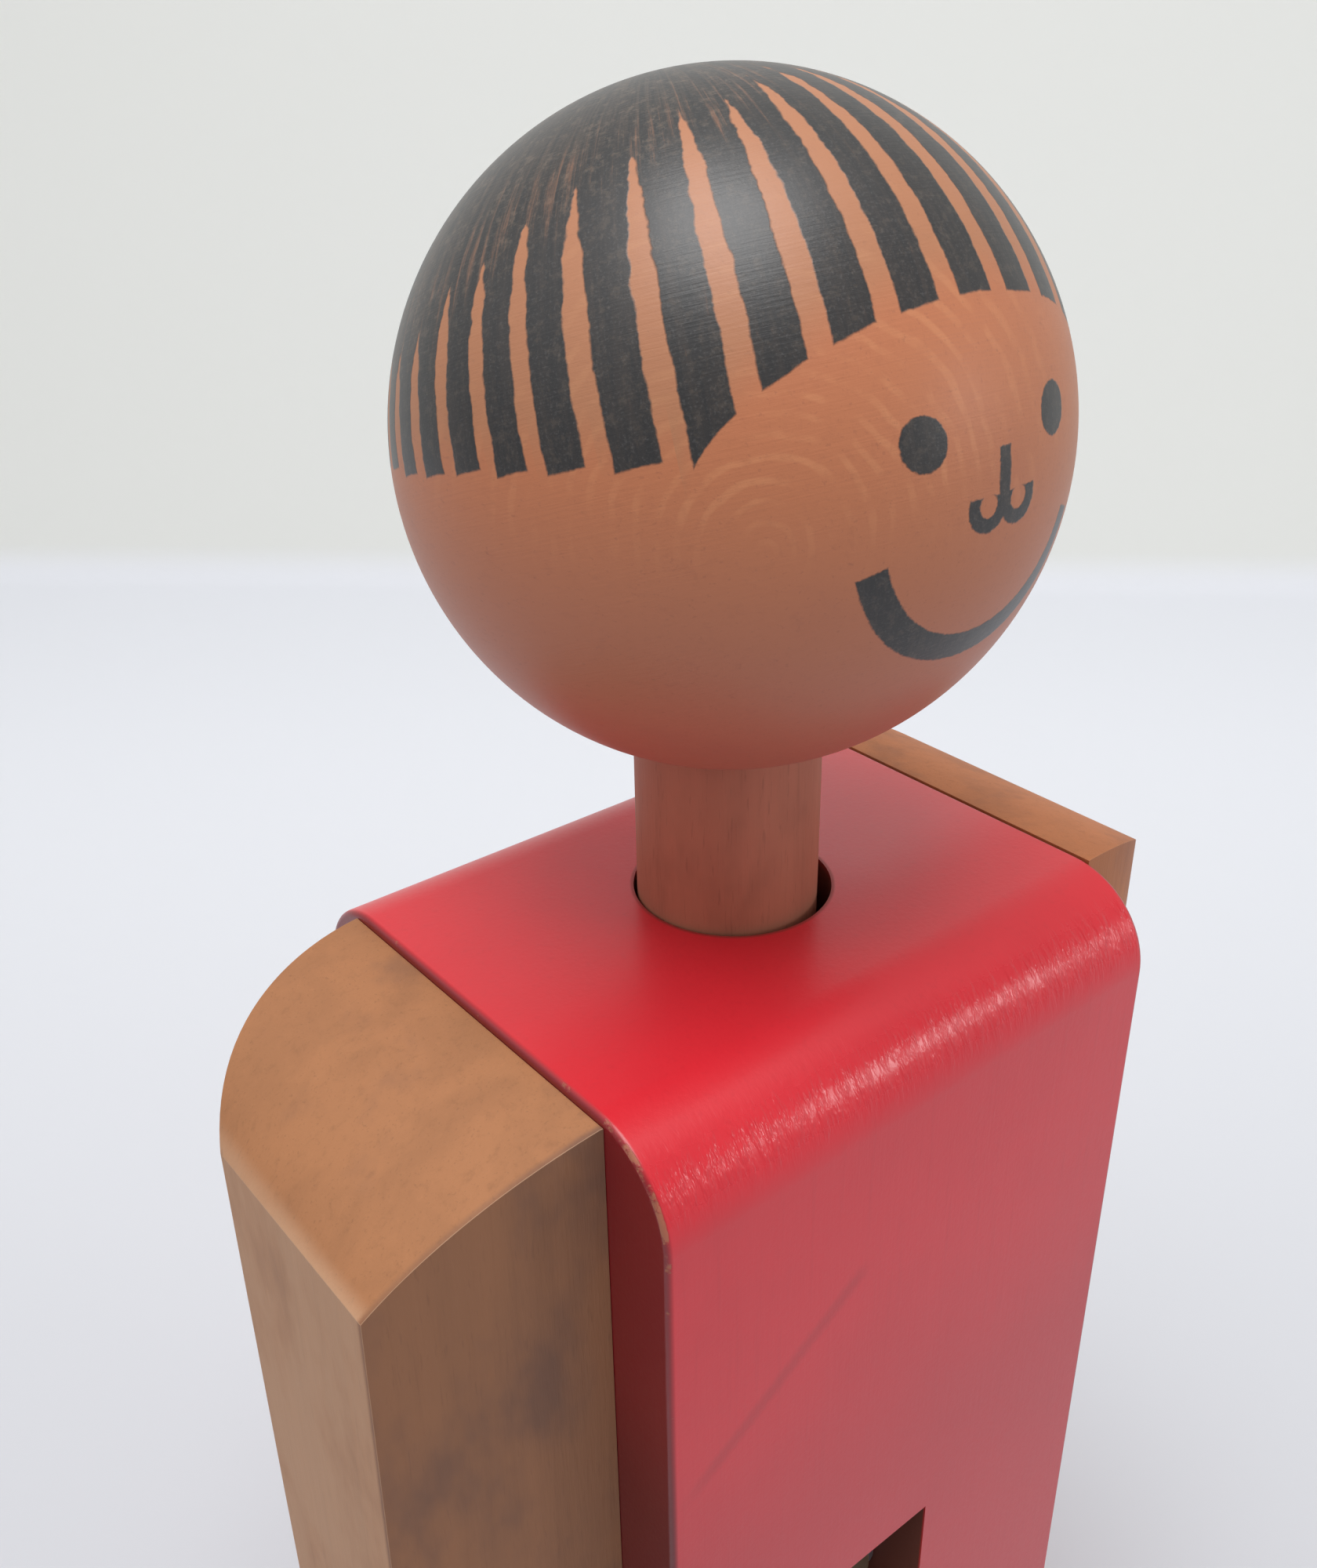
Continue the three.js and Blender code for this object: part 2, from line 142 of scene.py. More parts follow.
class HeadSettings(bpy.types.PropertyGroup):
    """The turned head, its painted hair and face, and the neck."""

    wood: colour("Head wood", "Wood of the ball", 192, 118, 80)
    ring: colour("Head rings", "Lighter growth rings of the ball", 226, 156, 108)
    neck: colour("Neck wood", "Wood of the neck", 182, 112, 88)
    paint: colour("Hair and face paint", "Black paint", 43, 42, 43)
    neck_edge: length("Neck edge", "Softening of the neck's edges", 0.25)
    spigot: length("Spigot", "Radius of the spigot under the neck", 3)
    face_turn: angle("Face turn", "How far the face looks to its left of straight ahead", 2.2)
    eye_out: length("Eye distance", "From the middle of the face to an eye", 6.4)
    eye_up: length("Eye height", "Above the middle of the ball", 5.1)
    eye_radius: length("Eye radius", "Radius of the dot", 1.75)
    mouth_radius: length("Mouth radius", "Radius of the smile's middle line", 10.7)
    mouth_stroke: length("Mouth stroke", "Width of the smile", 2.2)
    hair_lean: angle("Hair lean", "How far the crown of the hair lies behind the top of the ball", 20)
    hair_swing: angle("Hair swing", "How far round from the middle line the crown lies", -5.3)
    fringe_step: angle("Fringe step", "From stripe to stripe across the fringe", 11)
    side_step: angle("Side step", "From stripe to stripe round the sides and the back", 114 / 13)
    stripe: share("Stripe share", "Painted share of each step", 0.64)
    ring_turn: angle("Ring turn", "How far round the ball the middle of the growth rings lies", -36)
    ring_drop: angle("Ring drop", "How far below the ball's middle the middle of the growth rings lies", 1)


class BlockSettings(bpy.types.PropertyGroup):
    """The lacquered block."""

    lacquer: colour("Lacquer", "Red lacquer", 220, 36, 50)
    bare: colour("Bare wood", "Wood where the lacquer is worn or was never brushed", 176, 112, 82)
    shoulder_round: length("Shoulder round", "Radius of the front and back top edges", 8.1)
    edge: length("Edge", "Softening of the sharp edges", 0.55)
    bore: length("Bore", "Diameter of the hole for the neck", 17.1)
    bore_side: length("Bore side", "How far the hole lies to the left of the neck's axis", 0.6)
    spigot_hole: length("Spigot hole", "Radius of the hole from the bore to the slot", 3.75)
    slot_width: length("Slot width", "Width of the slot for the leg", 13)
    slot_height: length("Slot height", "Height of the slot above the floor", 70.5)
    web: length("Web", "Wood left between the slot and the bore", 5.5)


class LimbSettings(bpy.types.PropertyGroup):
    """Arms, leg and boot."""

    arm: colour("Arm wood", "Wood of the arms", 174, 117, 76)
    # The smudge colour is also the painted shade on the right arm's front; the edge colour is also the
    # painted highlight on its outside.
    arm_smudge_and_shade: colour("Arm smudge", "Handled, darker wood of the arms", 120, 84, 66)
    arm_edge_and_highlight: colour("Arm edge", "Rubbed edges of the arms", 205, 164, 132)
    leg: colour("Leg wood", "Wood of the leg and the dowels", 205, 158, 112)
    boot: colour("Boot paint", "Black paint of the boot", 38, 38, 43)
    arm_thickness: length("Arm thickness", "At the crease of the shoulder", 18)
    arm_flare: length("Arm flare", "How much thicker the arm is at its lower end", 1.2)
    arm_crease: length("Arm crease", "How far the crease lies below the top of the arm", 8.9)
    shoulder_bulge: angle("Shoulder bulge", "Half the angle that the shoulder's arc turns through", 21)
    arm_slant: length("Arm slant", "How far the straight side of the arm slants in", 3.4)
    arm_flat: length("Arm flat", "Width of the flat outside", 21)
    worn_bulge: angle("Worn bulge", "Shoulder bulge at the front of the right arm", 11)
    worn_flat: length("Worn flat", "Width of the flat outside of the right arm", 18.5)
    worn_back: length("Worn back", "How much shorter the right arm is at the back", 1.7)
    edge: length("Edge", "Softening of the arms' edges", 0.6)
    leg_edge: length("Leg edge", "Softening of the leg's edges", 0.8)
    boot_edge: length("Boot edge", "Softening of the boot's edges", 1.2)
    instep: length("Instep", "How far the boot's top reaches before the shin", 1.2)
    toe_height: length("Toe height", "Height of the boot's toe", 7.5)
    tail_reach: length("Tail reach", "From the hip to the nose of the leg's tail", 14)
    tail_nose: length("Tail nose", "Radius of the nose", 4.5)
    tail_bar: length("Tail bar", "Thickness of the tail", 5)
    hip_boss: length("Hip boss", "Radius of the leg round the hip", 6.2)
    calf: length("Calf", "Width of the shin", 13)
    knee_drop: length("Knee drop", "Where the shin becomes straight, below the hip", 15)


class MetalSettings(bpy.types.PropertyGroup):
    """Spring, pins and washers."""

    steel: colour("Steel", "Plain steel", 176, 178, 182)
    wire: length("Wire", "Diameter of the spring's wire", 1.4)
    end_pitch: length("End pitch", "Pitch of the close curl at each end", 2)
    curls: bpy.props.IntProperty(
        name="Open curls", description="Curls between the close ones", default=4, min=1
    )


class StageSettings(bpy.types.PropertyGroup):
    """Camera, floor, wall and lamps."""

    floor: colour("Floor", "Pale floor", 226, 228, 234)
    wall: colour("Wall", "Pale wall", 229, 230, 226)
    wall_distance: length("Wall distance", "From the camera to the wall", 531)
    wall_turn: angle("Wall turn", "How far the wall's right end comes nearer", 4.5)
    lamp: power("Lamp", "Power of the lamp overhead", 1.45)
    window: power("Window", "Power of the lamp at the front right", 0.3)
    room: share("Room light", "Brightness of the plain room round the figure", 0.88)


class FootballerSettings(bpy.types.PropertyGroup):
    """All settings of the footballer."""

    head: bpy.props.PointerProperty(type=HeadSettings)
    block: bpy.props.PointerProperty(type=BlockSettings)
    limbs: bpy.props.PointerProperty(type=LimbSettings)
    metal: bpy.props.PointerProperty(type=MetalSettings)
    stage: bpy.props.PointerProperty(type=StageSettings)


def maths(operation, *terms):
    """A Math node on values and numbers."""
    finish = next(term.finish for term in terms if isinstance(term, Value))
    return finish.node("ShaderNodeMath", {"operation": operation}, dict(enumerate(terms)))


def arithmetic(operation, turned_round=False):
    """A method that adds a Math node, with its two terms turned round if need be."""

    def method(self, other):
        return maths(operation, other, self) if turned_round else maths(operation, self, other)

    return method


class Value:
    """A socket of a material. Arithmetic on it adds Math nodes."""

    def __init__(self, finish, socket):
        self.finish = finish
        self.socket = socket

    __add__ = __radd__ = arithmetic("ADD")
    __sub__ = arithmetic("SUBTRACT")
    __rsub__ = arithmetic("SUBTRACT", True)
    __mul__ = __rmul__ = arithmetic("MULTIPLY")
    __truediv__ = arithmetic("DIVIDE")
    __pow__ = arithmetic("POWER")
    __lt__ = arithmetic("LESS_THAN")

    def __neg__(self):
        return maths("MULTIPLY", self, -1)

    def __abs__(self):
        return maths("ABSOLUTE", self)


def least(*terms):
    result = terms[0]
    for term in terms[1:]:
        result = maths("MINIMUM", result, term)
    return result


def most(*terms):
    result = terms[0]
    for term in terms[1:]:
        result = maths("MAXIMUM", result, term)
    return result


def distance(across, up):
    return maths("SQRT", across * across + up * up)


def fade(value, start, end):
    """Rises smoothly from 0 at start to 1 at end."""
    inputs = {"Value": value, "From Min": start, "From Max": end}
    return value.finish.node("ShaderNodeMapRange", {"interpolation_type": "SMOOTHSTEP"}, inputs)


class Finish:
    """The nodes of a material or of the room's light."""

    def __init__(self, owner):
        owner.use_nodes = True
        self.owner = owner
        self.tree = owner.node_tree
        self.tree.nodes.clear()

    def node(self, kind, settings=None, inputs=None, output=0):
        made = self.tree.nodes.new(kind)
        for name, value in (settings or {}).items():
            setattr(made, name, value)
        for name, value in (inputs or {}).items():
            if isinstance(value, Value):
                self.tree.links.new(value.socket, made.inputs[name])
            else:
                made.inputs[name].default_value = value
        return Value(self, made.outputs[output]) if made.outputs else None

    def place(self, centre=(0, 0, 0), turn=(0, 0, 0)):
        """Place on the piece in millimetres, about a centre and turned."""
        where = self.node("ShaderNodeTexCoord", output="Object")
        inputs = {"Vector": where, "Location": centre, "Rotation": turn, "Scale": (MM, MM, MM)}
        return self.node("ShaderNodeMapping", {"vector_type": "TEXTURE"}, inputs)

    def parts(self, vector):
        split = self.node("ShaderNodeSeparateXYZ", inputs={0: vector}).socket.node
        return [Value(self, split.outputs[axis]) for axis in range(3)]

    def vector(self, x, y, z):
        return self.node("ShaderNodeCombineXYZ", inputs={0: x, 1: y, 2: z})

    def stretch(self, vector, amount):
        inputs = {0: vector, 1: amount}
        return self.node("ShaderNodeVectorMath", {"operation": "MULTIPLY"}, inputs)

    def noise(self, vector, scale, detail=3.0, roughness=0.55, distortion=0.0):
        inputs = {
            "Vector": vector,
            "Scale": scale,
            "Detail": detail,
            "Roughness": roughness,
            "Distortion": distortion,
        }
        return self.node("ShaderNodeTexNoise", inputs=inputs)

    def chance(self, seed):
        """A steady random number for each seed."""
        return self.node("ShaderNodeTexWhiteNoise", {"noise_dimensions": "1D"}, {"W": seed})

    def worn(self):
        """How near the middle of a softened edge the place is."""
        return self.node("ShaderNodeAttribute", {"attribute_name": "worn"}, output="Fac")

    def blend(self, factor, first, second, how="MIX"):
        settings = {"data_type": "RGBA", "blend_type": how}
        return self.node("ShaderNodeMix", settings, {0: factor, 6: first, 7: second}, 2)

    def bump(self, height, depth, strength=1.0):
        """Relief of a height between 0 and 1, depth millimetres deep."""
        inputs = {"Height": height, "Distance": depth * MM, "Strength": strength}
        return self.node("ShaderNodeBump", inputs=inputs)

    def shade(self, **sockets):
        named = {name.replace("_", " ").title(): value for name, value in sockets.items()}
        named = {name.replace("Ior", "IOR"): value for name, value in named.items()}
        surface = self.node("ShaderNodeBsdfPrincipled", inputs=named)
        self.node("ShaderNodeOutputMaterial", inputs={"Surface": surface})
        return self.owner


def deselect():
    if bpy.context.mode != "OBJECT":
        bpy.ops.object.mode_set(mode="OBJECT")
    bpy.ops.object.select_all(action="DESELECT")


def pick(piece):
    """Makes a piece the only one selected."""
    deselect()
    piece.select_set(True)
    bpy.context.view_layer.objects.active = piece


def settle(name):
    """Names the newest piece and moves its place into its mesh."""
    piece = bpy.context.active_object
    piece.name = name
    piece.data.name = name
    bpy.ops.object.transform_apply(location=True, rotation=True, scale=True)
    return piece


def edit_all():
    """Opens the active piece for editing, all of it selected."""
    bpy.ops.object.mode_set(mode="EDIT")
    bpy.ops.mesh.select_all(action="SELECT")


def slab(name, outline, sweep, steps=1):
    """A flat outline of points in space, swept along a vector in steps."""
    deselect()
    bpy.ops.mesh.primitive_circle_add(vertices=len(outline), fill_type="NGON")
    piece = settle(name)
    for vertex, point in zip(piece.data.vertices, outline):
        vertex.co = point
    edit_all()
    for step in range(steps):
        bpy.ops.mesh.extrude_region_move(TRANSFORM_OT_translate={"value": Vector(sweep) / steps})
    face_outwards()
    return piece


def face_outwards():
    bpy.ops.mesh.select_all(action="SELECT")
    bpy.ops.mesh.normals_make_consistent(inside=False)
    bpy.ops.object.mode_set(mode="OBJECT")


def turned(name, axis, steps, sides=96):
    """A piece turned about an upright axis: a disc drawn up through (radius, height) steps."""
    deselect()
    radius, height = steps[0]
    place = (axis.x, axis.y, height)
    bpy.ops.mesh.primitive_circle_add(vertices=sides, radius=radius, fill_type="NGON", location=place)
    piece = settle(name)
    edit_all()
    for next_radius, next_height in steps[1:]:
        bpy.ops.mesh.extrude_region_move(TRANSFORM_OT_translate={"value": (0, 0, next_height - height)})
        grow = next_radius / radius
        bpy.ops.transform.resize(value=(grow, grow, 1), center_override=(axis.x, axis.y, next_height))
        radius, height = next_radius, next_height
    face_outwards()
    return piece


def cross_rod(name, diameter, span, place):
    """A rod along X, for cutting a hole."""
    deselect()
    bpy.ops.mesh.primitive_cylinder_add(
        vertices=48, radius=diameter / 2, depth=span, location=place, rotation=(0, math.pi / 2, 0)
    )
    return settle(name)


def dowel_hole(dowel):
    """A rod a little larger than a dowel of an arm."""
    size = size_of(dowel)
    return cross_rod("dowel_hole", size.z + 2 * FIT, size.x + 2 * FIT, middle_of(dowel))


def apply_modifier(piece, kind, **settings):
    pick(piece)
    modifier = piece.modifiers.new(kind.lower(), kind)
    for name, value in settings.items():
        setattr(modifier, name, value)
    bpy.ops.object.modifier_apply(modifier=modifier.name)


def weld(piece):
    """Merges corners that fall on one another."""
    pick(piece)
    edit_all()
    bpy.ops.mesh.remove_doubles(threshold=0.003 * MM)
    bpy.ops.mesh.dissolve_degenerate(threshold=0.001 * MM)
    face_outwards()


def carve(piece, tool, operation="DIFFERENCE"):
    """Cuts a tool out of a piece, or keeps what they share, and takes the tool away."""
    apply_modifier(piece, "BOOLEAN", object=tool, operation=operation, solver="EXACT")
    bpy.data.objects.remove(tool, do_unlink=True)


def soften(piece, material, width, segments=4):
    """Rounds the sharp edges and marks the middle of each rounding in the attribute 'worn'."""
    piece.data.materials.append(material)
    piece.data.materials.append(material)
    apply_modifier(
        piece,
        "BEVEL",
        width=width,
        segments=segments,
        limit_method="ANGLE",
        angle_limit=25 * DEGREE,
        material=1,
    )
    mesh = piece.data
    inside = [True] * len(mesh.vertices)
    for face in mesh.polygons:
        if face.material_index == 0:
            for vertex in face.vertices:
                inside[vertex] = False
    worn = mesh.attributes.new("worn", "FLOAT", "POINT")
    worn.data.foreach_set("value", [float(flag) for flag in inside])
    for face in mesh.polygons:
        face.material_index = 0
    mesh.materials.pop()


def smooth(piece):
    pick(piece)
    bpy.ops.object.shade_smooth_by_angle(angle=SMOOTH_LIMIT)
    apply_modifier(piece, "WEIGHTED_NORMAL", keep_sharp=True, weight=90)


def dress(piece, material):
    piece.data.materials.clear()
    piece.data.materials.append(material)


def arc(centre, radius, start, end, steps=24):
    """Points along an arc in a plane, with angles in radians."""
    turns = [start + (end - start) * step / steps for step in range(steps + 1)]
    return [(centre[0] + radius * math.cos(turn), centre[1] + radius * math.sin(turn)) for turn in turns]


def bent(start, control, end, steps=24):
    """Points along a curve that leaves start towards control and comes into end from it."""
    points = []
    for step in range(steps + 1):
        there = step / steps
        back = 1 - there
        points.append(
            tuple(
                back * back * a + 2 * back * there * b + there * there * c
                for a, b, c in zip(start, control, end)
            )
        )
    return points


def face_strokes(head, across, up):
    """Distance in millimetres from the painted dots and lines of the face, below 0 inside them."""
    eyes = distance(abs(across) - head.eye_out / MM, up - head.eye_up / MM) - head.eye_radius / MM
    nose_across = 0.3
    stem_middle = 1.9
    stem_half = 2.1
    curl_across = 1.5
    curl_height = 0.45
    curl_radius = 1.3
    curl_top = 0.6
    mouth_height = 0.75
    mouth_end = 18 * DEGREE
    beside_nose = abs(across - nose_across)
    stem = most(beside_nose - 0.55, abs(up - stem_middle) - stem_half)
    curl_up = up - curl_height
    curl = abs(distance(beside_nose - curl_across, curl_up) - curl_radius) - 0.5
    curls = most(curl, curl_up - curl_top)
    mouth_up = up - mouth_height
    from_middle = distance(across - nose_across, mouth_up)
    smile = abs(from_middle - head.mouth_radius / MM) - head.mouth_stroke / MM / 2
    ends = mouth_up + from_middle * math.sin(mouth_end)
    return least(eyes, stem, curls, most(smile, ends))


def hair_shape(finish, head, around, up, wobble, ragged):
    """Distance in millimetres from the painted hair, below 0 inside it, and in degrees up the ball where
    its gaps open and close."""
    turn = abs(around)
    fringe_step = head.fringe_step / DEGREE
    side_step = head.side_step / DEGREE
    wide_stripes = 6
    fringe_half = wide_stripes * fringe_step
    in_front = turn < fringe_half
    step = side_step + in_front * (fringe_step - side_step)
    beyond = wide_stripes + (turn - fringe_half) / side_step
    count = in_front * (turn / fringe_step) + (1 - in_front) * beyond
    nearest = maths("ROUND", count)
    half = maths("SIGN", around)
    luck = finish.chance(nearest * half) - 0.5
    gap_luck = finish.chance((maths("FLOOR", count) + 0.5) * half) - 0.5
    arch_width = 49.5
    arch_rise = 19.4
    arch_foot = -8.5
    arch = arch_rise * most(1 - (turn / arch_width) * (turn / arch_width), 0) ** 0.6 + arch_foot
    stripe_turn = least(nearest, wide_stripes) * fringe_step + most(nearest - wide_stripes, 0) * side_step
    sides = stripe_turn * 0.15 - 10.9 + luck * 1.2
    under_arch = turn < arch_width
    hairline = under_arch * arch + (1 - under_arch) * sides
    closing = most(63.5 - 0.385 * turn, 24) + gap_luck * 5
    climb = least(most((up - hairline) / (closing - hairline), 0), 1.3)
    painted_half = head.stripe / 2 + (0.5 - head.stripe / 2) * climb ** 6
    degree = head_radius * DEGREE / MM
    narrow = maths("COSINE", up * DEGREE)
    beside_stripe = (abs(count - nearest) - painted_half) * step * degree * narrow
    below_hair = (hairline - up) * degree
    edge = wobble * (0.3 + climb * 0.7) + ragged * 0.17
    return most(beside_stripe, below_hair) + edge, hairline, closing


def round_the_ball(finish, turn):
    """Degrees round the head and up it, in a turned frame."""
    x, y, z = finish.parts(finish.place(head_centre, turn))
    around = maths("ARCTAN2", x, -y) / DEGREE
    up = maths("ARCSINE", least(most(z / (head_radius / MM), -1), 1)) / DEGREE
    return around, up


def head_finish(head):
    fibre_brown = rgb(160, 94, 66)
    blotch_brown = rgb(172, 104, 76)
    chin_shade_brown = rgb(160, 101, 98)
    pore_brown = rgb(140, 82, 62)
    gap_tan = rgb(164, 121, 89)
    speck_grey = rgb(84, 82, 82)
    streak_brown = rgb(86, 74, 66)
    rubbed_grey = rgb(112, 98, 86)
    finish = Finish(bpy.data.materials.new("painted_head"))
    place = finish.place(head_centre)
    wobble = finish.noise(place, 0.55, 2) - 0.5
    ragged = finish.noise(place, 2.6, 3) - 0.5

    around, up = round_the_ball(finish, (0, 0, head.face_turn))
    degree = head_radius * DEGREE / MM
    across = around * degree * maths("COSINE", up * DEGREE)
    face = face_strokes(head, across, up * degree) + ragged * 0.3

    lean = Matrix.Rotation(-head.hair_lean, 3, "X")
    swing = Matrix.Rotation(head.hair_swing, 3, "Z")
    turn = Matrix.Rotation(head.face_turn, 3, "Z") @ swing @ lean @ swing.inverted()
    around, up = round_the_ball(finish, turn.to_euler())
    hair, hairline, closing = hair_shape(finish, head, around, up, wobble, ragged)
    streaks = finish.noise(finish.vector(around * 0.42, up * 0.022, 0), 1.6, 5, 0.7)
    near_closing = fade(abs(up - closing - 2), 14, 1)
    dry = fade(streaks + near_closing * 0.12 + ragged * 0.12, 0.62, 0.84)
    hair_paint = fade(hair, 0.1, -0.1) * (1 - dry * 0.35)
    paint = most(hair_paint, fade(face, 0.09, -0.09))

    ring_x, ring_y, ring_z = finish.parts(finish.place(head_centre, (head.ring_drop, 0, head.ring_turn)))
    grain_warp = finish.noise(place, 0.13, 3) * 1.8
    ring_wave = maths("SINE", (distance(ring_x, ring_z) * 0.8 + grain_warp) * 2 * math.pi)
    broken = finish.noise(place, 0.3, 3, 0.6)
    rings = fade(ring_wave, 0.1, 0.95) * fade(broken, 0.38, 0.66)
    rings = rings * fade(ring_z, -3, 4) * fade(-ring_y, 8, 21)
    fibre = finish.noise(finish.stretch(place, (1.7, 0.5, 1.7)), 1.0, 5, 0.65)
    blotch = finish.noise(place, 0.07, 3)
    z = finish.parts(place)[2]
    wood = finish.blend(rings * 0.28, head.wood, head.ring)
    wood = finish.blend(fade(fibre, 0.5, 0.78) * 0.25, wood, fibre_brown)
    wood = finish.blend(fade(blotch, 0.5, 0.75) * 0.3, wood, blotch_brown)
    # Painted shade: the ball's wood darkens towards the chin, below its middle.
    wood = finish.blend(fade(z, 5, -22) * 0.5, wood, chin_shade_brown)
    pores = finish.noise(finish.stretch(place, (3.4, 1.5, 3.4)), 1.0, 2)
    wood = finish.blend(fade(pores, 0.62, 0.74) * 0.25, wood, pore_brown)
    wood = finish.blend(fade(up - hairline, -2, 9) * 0.5, wood, gap_tan)

    specks = finish.noise(place, 5.5, 2)
    crown = fade(up - closing, -10, 6)
    tone = finish.blend(fade(specks, 0.52, 0.75) * 0.5, head.paint, speck_grey)
    tone = finish.blend(fade(streaks, 0.4, 0.66) * (0.2 + crown * 0.4), tone, streak_brown)
    rubbed = finish.noise(place, 1.3, 4, 0.75)
    tone = finish.blend(fade(rubbed, 0.5, 0.68) * (0.22 + crown * 0.3), tone, rubbed_grey)
    base = finish.blend(paint, wood, tone)
    lathe = finish.noise(finish.vector(around * 0.13, up * 2.3, 0), 1.0, 2)
    roughness = 0.44 - paint * 0.1 + specks * 0.1
    relief = paint * 0.5 + fibre * 0.25 + specks * 0.15 + lathe * 0.45
    return finish.shade(
        base_color=base,
        roughness=roughness,
        normal=finish.bump(relief, 0.06, 0.6),
        coat_weight=0.15,
        coat_roughness=0.35,
    )


def grained_wood(name, wood, dark, edge, smudge=0.4, painted_light_faces=None, shaded_above=None):
    """Bare wood with its grain along Z, darker where it was handled and pale on its rubbed edges. With the
    arms' inside, outside, front and slant, the right arm's front gets painted shade and its outside a
    painted highlight, and the left arm a reddish painted bounce light from the lacquer. Above a height the
    wood is nearly black, painted shade where the leg sits in the slot. All in millimetres."""
    finish = Finish(bpy.data.materials.new(name))
    place = finish.place()
    x, y, z = finish.parts(place)
    fibre = finish.noise(finish.stretch(place, (1, 1, 0.045)), 1.1, 6, 0.68, 0.3)
    figure = finish.noise(finish.stretch(place, (1, 1, 0.05)), 0.16, 3, 0.5, 0.6)
    pores = finish.noise(finish.stretch(place, (1, 1, 0.09)), 4.2, 2)
    handled = finish.noise(finish.stretch(place, (1, 1, 0.5)), 0.085, 4, 0.62)
    tone = finish.blend(fade(figure, 0.38, 0.66) * 0.4, wood, scaled(wood, 0.72))
    tone = finish.blend(fade(fibre, 0.5, 0.8) * 0.45, tone, scaled(wood, 0.58))
    tone = finish.blend(fade(fibre, 0.45, 0.22) * 0.3, tone, scaled(wood, 1.18))
    tone = finish.blend(fade(pores, 0.6, 0.74) * 0.35, tone, scaled(wood, 0.5))
    tone = finish.blend(fade(handled, 0.5, 0.72) * smudge, tone, dark)
    if painted_light_faces is not None:
        inner, outer, front, slant = painted_light_faces
        before = y - front - (-x - inner) * (slant / (outer - inner))
        # Painted shade on the right arm's front face: darkened towards the dark colour, mottled by the
        # handled noise.
        shaded_front = fade(before, 0.7, 0.1) * fade(x, 1, -1)
        tone = finish.blend(shaded_front * (0.45 + fade(handled, 0.4, 0.65) * 0.5), tone, dark)
        # Painted highlight on the right arm's outside: lightened towards the edge colour.
        outside_highlight = fade(-x, outer - 2.4, outer - 1.1) * (1 - shaded_front)
        tone = finish.blend(outside_highlight * (0.3 + fade(handled, 0.65, 0.4) * 0.3), tone, edge)
        # Painted reddish bounce light from the lacquer on the left arm.
        red_bounce = (1.22, 1, 0.88, 1)
        tone = finish.blend(fade(x, -1, 1), tone, red_bounce, "MULTIPLY")
    # Painted shade: above the given height, where the leg's tail sits in the slot, the wood is nearly
    # black.
    if shaded_above is not None:
        tone = finish.blend(fade(z, shaded_above - 8, shaded_above) * 0.9, tone, scaled(dark, 0.2))
    rubbed = fade(finish.worn() + (finish.noise(place, 0.5, 3) - 0.5) * 0.9, 0.35, 0.9)
    tone = finish.blend(rubbed * 0.5, tone, edge)
    relief = fibre * 0.6 + pores * 0.4
    return finish.shade(
        base_color=tone,
        roughness=0.6 - rubbed * 0.06 + fibre * 0.08,
        normal=finish.bump(relief, 0.09, 0.6),
    )


